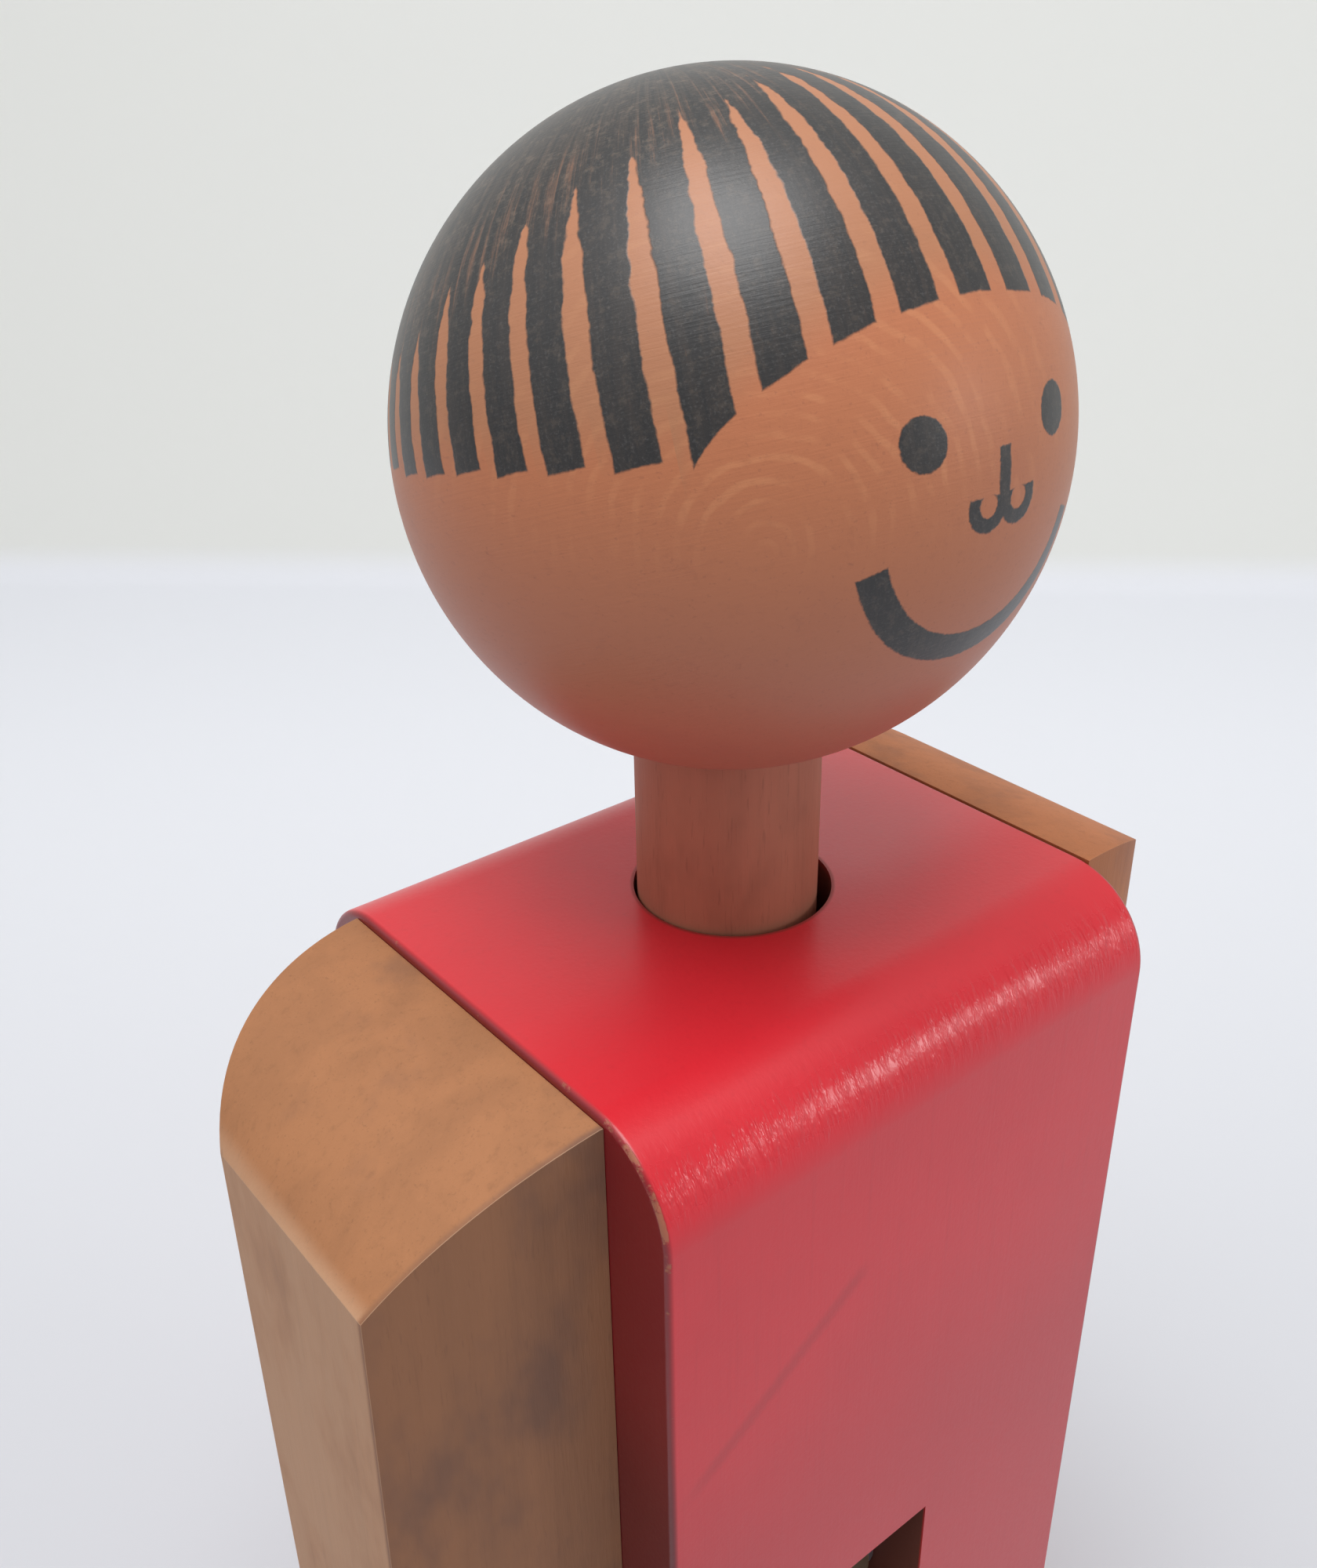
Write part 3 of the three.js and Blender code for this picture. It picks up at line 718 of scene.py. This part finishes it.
def lacquer_finish(block):
    finish = Finish(bpy.data.materials.new("red_lacquer"))
    place = finish.place(block_middle)
    x, y, z = finish.parts(place)
    half_width = (block_high.x - block_low.x) / 2 / MM
    half_depth = (block_high.y - block_low.y) / 2 / MM
    half_height = (block_high.z - block_low.z) / 2 / MM
    from_side = half_width - abs(x)
    behind_front = half_depth + y
    below_top = half_height - z
    cloud = finish.noise(place, 0.06, 3)
    fine = finish.noise(place, 2.2, 3)
    grain = finish.noise(finish.stretch(place, (1.3, 1.3, 0.06)), 1.0, 5, 0.65)
    tone = finish.blend(fade(cloud, 0.4, 0.7) * 0.3, block.lacquer, scaled(block.lacquer, 0.82))
    tone = finish.blend(fade(grain, 0.5, 0.8) * 0.22, tone, scaled(block.lacquer, 0.7))
    # Painted shade: the lacquer darkens towards the bottom of the block.
    tone = finish.blend(fade(z, 42, 14) * 0.55, tone, scaled(block.lacquer, 0.7))
    arm_end = (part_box("left_arm")[0].z - block_middle.z) / MM
    # Painted shade on the block's sides beside the arms: darkened to about a third, darker still further
    # down.
    shade_beside_arm = fade(from_side, 0.6, 0.05) * fade(z, arm_end - 8, arm_end + 26)
    tone = finish.blend(shade_beside_arm, tone, scaled(block.lacquer, 0.31))
    tone = finish.blend(shade_beside_arm * fade(z, 44, 26), tone, scaled(block.lacquer, 0.2))

    worn = finish.worn()
    rub = finish.noise(place, 0.42, 5, 0.7)
    near_side = fade(-x, half_width * 0.6, half_width)
    rounding = fade(below_top, 11, 7) * fade(behind_front, 9, 6)
    bare = fade(worn + (rub - 0.5) * 1.8 + near_side * rounding * 0.3, 1.2, 1.38)
    specks = fade(finish.noise(place, 0.9, 4, 0.75), 0.735, 0.76) * near_side
    bore_radius = block.bore / MM / 2
    bore_x = block.bore_side / MM
    bore_y = (neck_axis.y - block_middle.y) / MM
    in_hole = fade(distance(x - bore_x, y - bore_y), bore_radius + 0.4, bore_radius + 0.1)
    half_slot = block.slot_width / MM / 2
    in_slot = fade(abs(x - leg_x / MM), half_slot + 0.3, half_slot + 0.05)
    in_slot = in_slot * fade(z + half_height, block.slot_height / MM + 0.3, block.slot_height / MM + 0.05)
    in_slot = in_slot * fade(abs(y), half_depth - 0.05, half_depth - 0.3)
    unpainted = most(bare, specks * 0.8)

    scratch_start = Vector((-6.2, 108.7))
    along = Vector((-17.6, -11.8)).normalized()
    scratch_x = x - scratch_start.x
    scratch_z = z + half_height - scratch_start.y
    beside = abs(scratch_x * along.y - scratch_z * along.x)
    forward = scratch_x * along.x + scratch_z * along.y
    scratch = fade(beside + (fine - 0.5) * 0.6, 1.25, 0.1)
    scratch = scratch * fade(forward, -0.5, 2) * fade(forward, 25, 19) * fade(behind_front, 0.6, 0.2)
    tone = finish.blend(scratch * 0.38, tone, scaled(block.lacquer, 0.55))
    wood = finish.blend(fade(grain, 0.4, 0.7), block.bare, scaled(block.bare, 0.7))
    tone = finish.blend(unpainted * 0.75, tone, wood)
    # Bare wood inside the bore and the slot, darkened to about a fifth of its colour as painted shade in
    # these recesses.
    inside = most(in_hole * fade(below_top, -1, 0.8), in_slot)
    tone = finish.blend(inside * 0.9, tone, scaled(block.bare, 0.22))

    chatter_mask = fade(below_top, 7.6, 3) * fade(behind_front, 4.6, 1.4) * fade(from_side, 0.1, 0.8)
    chatter = fade(finish.noise(finish.stretch(place, (1.1, 0.3, 0.3)), 1.0, 3, 0.65), 0.36, 0.66)
    relief = fine * 0.25 + grain * 0.3 + chatter * chatter_mask * 2.2 - unpainted * 0.8 - scratch * 0.02
    polished = fade(below_top, 0.8, 0.1) * (1 - inside) * fade(x, 0, 12) * fade(y, -12, -2)
    return finish.shade(
        base_color=tone,
        roughness=0.33 + fine * 0.08 + unpainted * 0.25 + inside * 0.3 - chatter_mask * 0.17,
        normal=finish.bump(relief, 0.07, 0.7),
        coat_weight=0.25 + polished * 0.55 - inside * 0.25,
        coat_roughness=0.22,
    )


def boot_finish(limbs):
    finish = Finish(bpy.data.materials.new("boot_paint"))
    place = finish.place()
    fine = finish.noise(place, 1.8, 4)
    rub = finish.noise(place, 0.5, 4, 0.7)
    worn = fade(finish.worn() + rub * 1.4, 1.45, 1.75)
    tone = finish.blend(fade(fine, 0.45, 0.75) * 0.4, limbs.boot, rgb(66, 64, 68))
    tone = finish.blend(worn * 0.8, tone, limbs.leg)
    return finish.shade(
        base_color=tone,
        roughness=0.4 + fine * 0.1 + worn * 0.15,
        normal=finish.bump(fine - worn * 0.6, 0.05, 0.6),
        coat_weight=0.2,
        coat_roughness=0.3,
    )


def steel_finish(metal):
    finish = Finish(bpy.data.materials.new("steel"))
    place = finish.place()
    drawn = finish.noise(finish.stretch(place, (0.4, 3, 3)), 1.2, 4)
    dull = finish.noise(place, 0.5, 3)
    tone = finish.blend(fade(dull, 0.45, 0.75) * 0.4, metal.steel, scaled(metal.steel, 0.6))
    return finish.shade(
        base_color=tone,
        metallic=1.0,
        roughness=0.28 + drawn * 0.12 + dull * 0.1,
        normal=finish.bump(drawn, 0.02, 0.5),
    )


class FOOTBALLER_OT_head(bpy.types.Operator):
    """The turned ball with a blind bore, painted with hair and a face"""

    bl_idname = "footballer.head"
    bl_label = "Head"

    def execute(self, context):
        settings = context.scene.footballer.head
        deselect()
        bpy.ops.mesh.primitive_uv_sphere_add(
            segments=192, ring_count=96, radius=head_radius, location=head_centre
        )
        ball = settle("head")
        bore = size_of("neck_plunger").x / 2 + FIT
        bore_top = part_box("neck_plunger")[1].z + FIT
        bottom = head_centre.z - 2 * head_radius
        carve(ball, turned("head_bore", neck_axis, [(bore, bottom), (bore, bore_top)]))
        weld(ball)
        dress(ball, head_finish(settings))
        pick(ball)
        bpy.ops.object.shade_smooth_by_angle(angle=SMOOTH_LIMIT)
        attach(ball, "head")
        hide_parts("head_ball")
        return {"FINISHED"}


class FOOTBALLER_OT_neck(bpy.types.Operator):
    """The neck, with the groove, collar and spigot of its plunger inside the block"""

    bl_idname = "footballer.neck"
    bl_label = "Neck"

    def execute(self, context):
        settings = context.scene.footballer
        low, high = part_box("neck_plunger")
        washer_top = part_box("thrust_washer")[1].z
        pin_low, pin_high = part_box("stop_pin_front")
        neck = size_of("neck_plunger").x / 2
        groove = neck_axis.y - pin_high.y - FIT
        spigot = settings.head.spigot
        collar_low = washer_top + FIT
        collar_high = pin_low.z - FIT
        groove_high = pin_high.z + travel + FIT
        steps = [
            (spigot, low.z),
            (spigot, collar_low),
            (neck, collar_low),
            (neck, collar_high),
            (groove, collar_high),
            (groove, groove_high),
            (neck, groove_high),
            (neck, high.z),
        ]
        piece = turned("neck", neck_axis, steps)
        wood = settings.head.neck
        material = grained_wood("neck_wood", wood, scaled(wood, 0.5), scaled(wood, 1.2), 0.55)
        soften(piece, material, settings.head.neck_edge, 2)
        smooth(piece)
        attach(piece, "head")
        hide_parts("neck_plunger")
        return {"FINISHED"}


class FOOTBALLER_OT_block(bpy.types.Operator):
    """The lacquered block, bored for the neck and slotted for the leg"""

    bl_idname = "footballer.block"
    bl_label = "Block"

    def execute(self, context):
        settings = context.scene.footballer.block
        round_off = settings.shoulder_round
        front, back = block_low.y, block_high.y
        level = block_high.z - round_off
        outline = [(front, block_low.z), (back, block_low.z)]
        outline += arc((back - round_off, level), round_off, 0, math.pi / 2)
        outline += arc((front + round_off, level), round_off, math.pi / 2, math.pi)
        points = [Vector((block_low.x, y, z)) for y, z in outline]
        piece = slab("block", points, (block_high.x - block_low.x, 0, 0))
        soften(piece, lacquer_finish(settings), settings.edge)

        bore_floor = settings.slot_height + settings.web
        above = block_high.z + 5 * MM
        bore = settings.bore / 2
        bore_axis = neck_axis + Vector((settings.bore_side, 0, 0))
        carve(piece, turned("bore", bore_axis, [(bore, bore_floor), (bore, above)]))
        spigot_hole = settings.spigot_hole
        through = [(spigot_hole, settings.slot_height - MM), (spigot_hole, bore_floor + MM)]
        carve(piece, turned("spigot_hole", neck_axis, through, 48))
        half_slot = settings.slot_width / 2
        top = settings.slot_height
        corners = [(-1, -MM), (1, -MM), (1, top), (-1, top)]
        slot = [Vector((leg_x + half_slot * side, front - MM, height)) for side, height in corners]
        carve(piece, slab("slot", slot, (0, back - front + 2 * MM, 0)))
        span = block_high.x - block_low.x
        for pin in ("hip_pin", "stop_pin_front", "stop_pin_back"):
            carve(piece, cross_rod("pin_hole", size_of(pin).z + 2 * FIT, 2 * span, middle_of(pin)))
        for side in ("right", "left"):
            for level in ("upper", "lower"):
                carve(piece, dowel_hole(f"{side}_arm_dowel_{level}"))
        smooth(piece)
        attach(piece, "body")
        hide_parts("body_block")
        return {"FINISHED"}


class FOOTBALLER_OT_arms(bpy.types.Operator):
    """Both arms: the right one has the shape of the left one turned half round, and is more worn"""

    bl_idname = "footballer.arms"
    bl_label = "Arms"

    def shoulder(self, limbs, bulge):
        """The shoulder's arc seen from the front, from the top to the crease."""
        low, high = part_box("left_arm")
        crease = Vector((low.x + limbs.arm_thickness, high.z - limbs.arm_crease))
        start = Vector((low.x, high.z))
        chord = crease - start
        radius = chord.length / (2 * math.sin(bulge))
        across = Vector((chord.y, -chord.x)).normalized()
        centre = (start + crease) / 2 + across * radius * math.cos(bulge)
        begin = math.atan2(start.y - centre.y, start.x - centre.x)
        return arc(centre, radius, begin, begin - 2 * bulge)

    def worn_shoulder(self, limbs):
        """The shoulder where it is sanded round into the outside."""
        low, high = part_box("left_arm")
        wide = limbs.arm_thickness
        quarter = arc((0, 0), 1, math.pi / 2, 0)
        return [(low.x + wide * across, high.z - limbs.arm_crease * (1 - up)) for across, up in quarter]

    def plan(self, limbs, inner, front, back, flat):
        """The arm seen from above."""
        outer = inner + limbs.arm_thickness + limbs.arm_flare
        edge = back - limbs.arm_slant
        bend = (outer - 3 * MM, front + 1.8 * MM)
        rounding = bent((block_high.x, front), bend, (outer, edge - flat))
        return [(block_high.x, back), *rounding, (outer, edge)]

    def arm(self, limbs, name, round_end, straight_end, short, flat):
        """An arm whose shoulder goes from one arc at its round end to another at its straight end."""
        low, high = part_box("left_arm")
        margin = MM
        start = low.y - margin
        reach = high.y - low.y + 2 * margin
        outer = low.x + limbs.arm_thickness + limbs.arm_flare
        seated = block_high.x + SEAT
        below = [(outer, low.z), (seated, low.z), (seated, high.z)]
        outline = [Vector((x, start, z)) for x, z in below + round_end]
        piece = slab(name, outline, (0, reach, 0), 12)
        for vertex in piece.data.vertices:
            there = (vertex.co.y - start) / reach
            flat_place = Vector((vertex.co.x, start, vertex.co.z))
            nearest = min(range(len(outline)), key=lambda index: (outline[index] - flat_place).length)
            if nearest >= len(below):
                end = straight_end[nearest - len(below)]
                vertex.co.x += (end[0] - vertex.co.x) * there
                vertex.co.z += (end[1] - vertex.co.z) * there
        plan = self.plan(limbs, low.x, low.y + short, high.y, flat)
        plan = [Vector((x, y, low.z - reach)) for x, y in plan]
        carve(piece, slab("arm_plan", plan, (0, 0, high.z - low.z + 2 * reach)), "INTERSECT")
        weld(piece)
        return piece

    def execute(self, context):
        limbs = context.scene.footballer.limbs
        low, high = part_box("left_arm")
        plain = self.shoulder(limbs, limbs.shoulder_bulge)
        left = self.arm(limbs, "left_arm_wood", plain, plain, 0, limbs.arm_flat)
        worn = self.worn_shoulder(limbs)
        low_bulge = self.shoulder(limbs, limbs.worn_bulge)
        right = self.arm(limbs, "right_arm_wood", worn, low_bulge, limbs.worn_back, limbs.worn_flat)
        outer = low.x + limbs.arm_thickness + limbs.arm_flare
        shaded_front = [place / MM for place in (block_high.x, outer, low.y, limbs.arm_slant)]
        material = grained_wood("arm_wood", limbs.arm, limbs.arm_smudge_and_shade, limbs.arm_edge_and_highlight, 0.5, shaded_front)
        soften(left, material, limbs.edge, 3)
        soften(right, material, limbs.edge, 3)
        pick(right)
        centre = (block_middle.x, (low.y + high.y) / 2, 0)
        bpy.ops.transform.rotate(value=math.pi, orient_axis="Z", center_override=centre)
        bpy.ops.transform.translate(value=(0, 0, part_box("right_arm")[0].z - low.z))
        settle("right_arm_wood")
        for arm, side in ((left, "left"), (right, "right")):
            for level in ("upper", "lower"):
                carve(arm, dowel_hole(f"{side}_arm_dowel_{level}"))
            weld(arm)
            smooth(arm)
            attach(arm, "body")
            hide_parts(f"{side}_arm")
        return {"FINISHED"}


class FOOTBALLER_OT_leg(bpy.types.Operator):
    """The leg with its tail, and the boot below it"""

    bl_idname = "footballer.leg"
    bl_label = "Leg and boot"

    def leg_outline(self, limbs, ankle, rise):
        """The leg from the side, about the hip."""
        nose = (limbs.tail_reach * math.cos(rise), limbs.tail_reach * math.sin(rise))
        calf = limbs.calf / 2
        thigh = 20 * DEGREE
        at_boss = math.asin(limbs.tail_bar / 2 / limbs.hip_boss)
        at_nose = math.pi - math.asin(limbs.tail_bar / 2 / limbs.tail_nose)
        outline = [(-calf, ankle), (calf, ankle), (calf, -limbs.knee_drop)]
        outline += arc((0, 0), limbs.hip_boss, -thigh, rise - at_boss, 12)
        outline += arc(nose, limbs.tail_nose, rise - at_nose, rise + at_nose)
        outline += arc((0, 0), limbs.hip_boss, rise + at_boss, math.pi + thigh, 32)
        outline.append((-calf, -limbs.knee_drop))
        return outline

    def boot_outline(self, low, high, instep, toe_height):
        """The boot from the side."""
        toe = toe_height / 2
        outline = bent((high.y - toe, low.z), (high.y, low.z), (high.y, low.z + toe), 12)
        outline += [(high.y, high.z), (instep, high.z)]
        toe_top = low.z + toe_height
        outline += bent((instep, high.z), (instep - toe, toe_top), (low.y + toe, toe_top))[1:]
        outline += arc((low.y + toe, low.z + toe), toe, math.pi / 2, math.pi * 1.5)[1:]
        return outline

    def execute(self, context):
        limbs = context.scene.footballer.limbs
        low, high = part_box("kicking_leg")
        rise = math.asin(travel / 2 / limbs.tail_reach)
        outline = self.leg_outline(limbs, low.z - hip.z, rise)
        points = [Vector((low.x, hip.y + y, hip.z + z)) for y, z in outline]
        leg = slab("leg", points, (high.x - low.x, 0, 0))
        dark = scaled(limbs.leg, 0.6)
        pale = scaled(limbs.leg, 1.15)
        # Above the hip the leg sits in the slot and gets painted shade there.
        wood = grained_wood("leg_wood", limbs.leg, dark, pale, shaded_above=hip.z / MM)
        soften(leg, wood, limbs.leg_edge)
        hip_hole = size_of("hip_pin").z + 2 * FIT
        carve(leg, cross_rod("hip_hole", hip_hole, 2 * (high.x - low.x), (low.x, hip.y, hip.z)))
        boot_low, boot_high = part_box("kicking_boot")
        instep = hip.y - limbs.calf / 2 - limbs.instep
        outline = self.boot_outline(boot_low, boot_high, instep, limbs.toe_height)
        points = [Vector((boot_low.x, y, z)) for y, z in outline]
        boot = slab("boot", points, (boot_high.x - boot_low.x, 0, 0))
        soften(boot, boot_finish(limbs), limbs.boot_edge)
        dowel_low, dowel_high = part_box("boot_dowel")
        radius = size_of("boot_dowel").x / 2 + FIT
        for piece, node, slot in ((leg, "kicking_leg", "leg_wood"), (boot, "kicking_boot", "boot_paint")):
            steps = [(radius, dowel_low.z - FIT), (radius, dowel_high.z + FIT)]
            carve(piece, turned("dowel_hole", middle_of("boot_dowel"), steps, 48))
            smooth(piece)
            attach(piece, "leg")
            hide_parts(node)
        return {"FINISHED"}


class FOOTBALLER_OT_spring(bpy.types.Operator):
    """The return spring: a close curl at each end and open curls between"""

    bl_idname = "footballer.spring"
    bl_label = "Return spring"

    def curls(self, centre, reach, wire, height, pitch, turns):
        deselect()
        place = (centre.x + reach, centre.y, height)
        bpy.ops.mesh.primitive_circle_add(
            vertices=14, radius=wire / 2, location=place, rotation=(math.pi / 2, 0, 0)
        )
        piece = settle("return_spring_wire")
        piece.data.transform(Matrix.Translation(-centre))
        steps = 40
        apply_modifier(
            piece,
            "SCREW",
            angle=2 * math.pi,
            screw_offset=pitch,
            iterations=turns,
            steps=steps,
            render_steps=steps,
        )
        piece.data.transform(Matrix.Translation(centre))
        return piece

    def execute(self, context):
        metal = context.scene.footballer.metal
        low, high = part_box("return_spring")
        centre = Vector((neck_axis.x, neck_axis.y, 0))
        reach = (high.x - centre.x) - metal.wire / 2
        bottom = low.z + metal.wire / 2
        top = high.z - metal.wire / 2
        pitch = (top - bottom - 2 * metal.end_pitch) / metal.curls
        pieces = [
            self.curls(centre, reach, metal.wire, bottom, metal.end_pitch, 1),
            self.curls(centre, reach, metal.wire, bottom + metal.end_pitch, pitch, metal.curls),
            self.curls(centre, reach, metal.wire, top - metal.end_pitch, metal.end_pitch, 1),
        ]
        pick(pieces[0])
        for piece in pieces[1:]:
            piece.select_set(True)
        bpy.ops.object.join()
        spring = settle("spring")
        edit_all()
        bpy.ops.mesh.remove_doubles(threshold=0.01 * MM)
        bpy.ops.mesh.fill_holes(sides=0)
        face_outwards()
        bpy.ops.object.shade_smooth_by_angle(angle=50 * DEGREE)
        dress(spring, bpy.data.materials["steel"])
        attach(spring, "body")
        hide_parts("return_spring")
        keep = 1 - travel / (high.z - low.z)
        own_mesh(spring)
        return {"FINISHED"}


class FOOTBALLER_OT_fittings(bpy.types.Operator):
    """Finishes of the pins, washers and dowels"""

    bl_idname = "footballer.fittings"
    bl_label = "Pins, washers and dowels"

    def execute(self, context):
        settings = context.scene.footballer
        steel = steel_finish(settings.metal)
        wood = settings.limbs.leg
        pale = grained_wood("pale_wood", wood, scaled(wood, 0.6), wood, 0.2)
        for name, node in frame["nodes"].items():
            if "dowel" in name:
                node.material_slots[0].material = pale
            elif "pin" in name or "washer" in name:
                node.material_slots[0].material = steel
        return {"FINISHED"}


class FOOTBALLER_OT_stage(bpy.types.Operator):
    """Camera, floor, wall and lamps"""

    bl_idname = "footballer.stage"
    bl_label = "Stage"

    eye = Vector((-74.08, -78.14, 199.91)) * MM
    heading = -38.29 * DEGREE
    tilt = 61.86 * DEGREE
    roll = -1.07 * DEGREE
    lens = 35.09
    overhead_place = Vector((-0.08, -0.06, 0.6))
    overhead_size = 0.28
    window_place = Vector((0.366, -0.463, 0.284))
    window_size = 0.12
    lit = Vector((0, 0, 0.12))

    def camera(self, scene):
        data = bpy.data.cameras.new("camera")
        data.sensor_width = 36
        data.lens = self.lens
        data.clip_start = 0.01
        data.clip_end = 20
        camera = bpy.data.objects.new("camera", data)
        turn = Matrix.Rotation(self.heading, 4, "Z") @ Matrix.Rotation(self.tilt, 4, "X")
        camera.matrix_world = Matrix.Translation(self.eye) @ turn @ Matrix.Rotation(self.roll, 4, "Z")
        scene.collection.objects.link(camera)
        scene.camera = camera

    def sheet_finish(self, stage):
        finish = Finish(bpy.data.materials.new("pale_sheet"))
        x, y, z = finish.parts(finish.place((0, 0, 0), (0, 0, self.heading)))
        # Painted shade: the floor darkens towards the camera.
        floor = finish.blend(fade(y, 320, -100), stage.floor, scaled(stage.floor, 0.7))
        tone = finish.blend(fade(z, 1, 14), floor, stage.wall)
        kinds = ("Is Camera Ray", "Is Glossy Ray", "Is Transmission Ray")
        seen = most(*(finish.node("ShaderNodeLightPath", output=kind) for kind in kinds))
        glow = finish.blend(seen, (0, 0, 0, 1), tone)
        return finish.shade(
            base_color=tone,
            roughness=0.8,
            specular_ior_level=0.2,
            emission_color=glow,
            emission_strength=0.22,
        )

    def sheet(self, stage):
        """A floor that turns up into a wall, square to the camera."""
        deselect()
        reach = 3.0
        bpy.ops.mesh.primitive_plane_add(size=reach, location=(0, 0, 0))
        piece = settle("sheet")
        bpy.ops.object.mode_set(mode="EDIT")
        bpy.ops.mesh.select_all(action="DESELECT")
        bpy.ops.object.mode_set(mode="OBJECT")
        forward = Vector((-math.sin(self.heading), math.cos(self.heading), 0))
        wall = self.eye.dot(forward) + stage.wall_distance
        for vertex in piece.data.vertices:
            if vertex.co.y > 0:
                vertex.co.y = wall
                vertex.select = True
        bpy.ops.object.mode_set(mode="EDIT")
        bpy.ops.mesh.select_mode(type="EDGE")
        bpy.ops.mesh.extrude_region_move(TRANSFORM_OT_translate={"value": (0, 0, reach / 2)})
        bpy.ops.object.mode_set(mode="OBJECT")
        turn = stage.wall_turn - self.heading
        bpy.ops.transform.rotate(value=turn, orient_axis="Z", center_override=(0, 0, 0))
        settle("sheet")
        apply_modifier(piece, "BEVEL", width=12 * MM, segments=6)
        pick(piece)
        bpy.ops.object.shade_smooth_by_angle(angle=SMOOTH_LIMIT)
        dress(piece, self.sheet_finish(stage))

    def lamp(self, scene, name, power, size, place):
        """A soft square lamp that looks at the figure."""
        data = bpy.data.lights.new(name, "AREA")
        data.energy = power
        data.size = size
        piece = bpy.data.objects.new(name, data)
        piece.location = place
        piece.rotation_euler = (self.lit - place).to_track_quat("-Z", "Y").to_euler()
        scene.collection.objects.link(piece)

    def room(self, stage):
        """Plain light from all round, weaker from above the front and from the left."""
        world = bpy.data.worlds.new("room")
        finish = Finish(world)
        x, y, z = finish.parts(finish.node("ShaderNodeTexCoord", output="Generated"))
        overhead = fade(z, -0.1, 0.6)
        above_front = fade(-y, -0.05, 0.6) * fade(z, 0.12, 0.42)
        right = fade(x, 0.0, 0.8) * (1 - above_front)
        light = stage.room * (0.42 + overhead * 0.9) * (1 - above_front * 0.6) * (1 + right * 0.55)
        light = light * (1 - fade(-x, 0.1, 0.9) * 0.25)
        seen = finish.node("ShaderNodeLightPath", output="Is Camera Ray")
        strength = seen * 0.8 + (1 - seen) * light
        inputs = {"Color": (1, 1, 1, 1), "Strength": strength}
        background = finish.node("ShaderNodeBackground", inputs=inputs)
        finish.node("ShaderNodeOutputWorld", inputs={"Surface": background})
        return world

    def execute(self, context):
        scene = context.scene
        stage = scene.footballer.stage
        self.camera(scene)
        self.sheet(stage)
        self.lamp(scene, "overhead", stage.lamp, self.overhead_size, self.overhead_place)
        self.lamp(scene, "window", stage.window, self.window_size, self.window_place)
        scene.world = self.room(stage)
        scene.view_settings.view_transform = "Standard"
        return {"FINISHED"}


class FOOTBALLER_PT_panel(bpy.types.Panel):
    """Lists the footballer's pieces"""

    bl_idname = "FOOTBALLER_PT_panel"
    bl_label = "Footballer"
    bl_space_type = "VIEW_3D"
    bl_region_type = "UI"
    bl_category = "Footballer"

    def draw(self, context):
        for operator in operators:
            self.layout.operator(operator.bl_idname)
        settings = context.scene.footballer
        for group in (settings.head, settings.block, settings.limbs, settings.metal, settings.stage):
            box = self.layout.box()
            for name in group.__annotations__:
                box.prop(group, name)


groups = (HeadSettings, BlockSettings, LimbSettings, MetalSettings, StageSettings, FootballerSettings)
operators = (
    FOOTBALLER_OT_stage,
    FOOTBALLER_OT_fittings,
    FOOTBALLER_OT_block,
    FOOTBALLER_OT_neck,
    FOOTBALLER_OT_head,
    FOOTBALLER_OT_arms,
    FOOTBALLER_OT_leg,
    FOOTBALLER_OT_spring,
)


def register():
    for made in (*groups, *operators, FOOTBALLER_PT_panel):
        bpy.utils.register_class(made)
    bpy.types.Scene.footballer = bpy.props.PointerProperty(type=FootballerSettings)


def unregister():
    del bpy.types.Scene.footballer
    for made in (FOOTBALLER_PT_panel, *reversed(operators), *reversed(groups)):
        bpy.utils.unregister_class(made)


def main():
    register()
    bpy.ops.footballer.stage()
    bpy.ops.footballer.fittings()
    bpy.ops.footballer.block()
    bpy.ops.footballer.neck()
    bpy.ops.footballer.head()
    bpy.ops.footballer.arms()
    bpy.ops.footballer.leg()
    bpy.ops.footballer.spring()
    deselect()


if __name__ == "__main__":
    main()
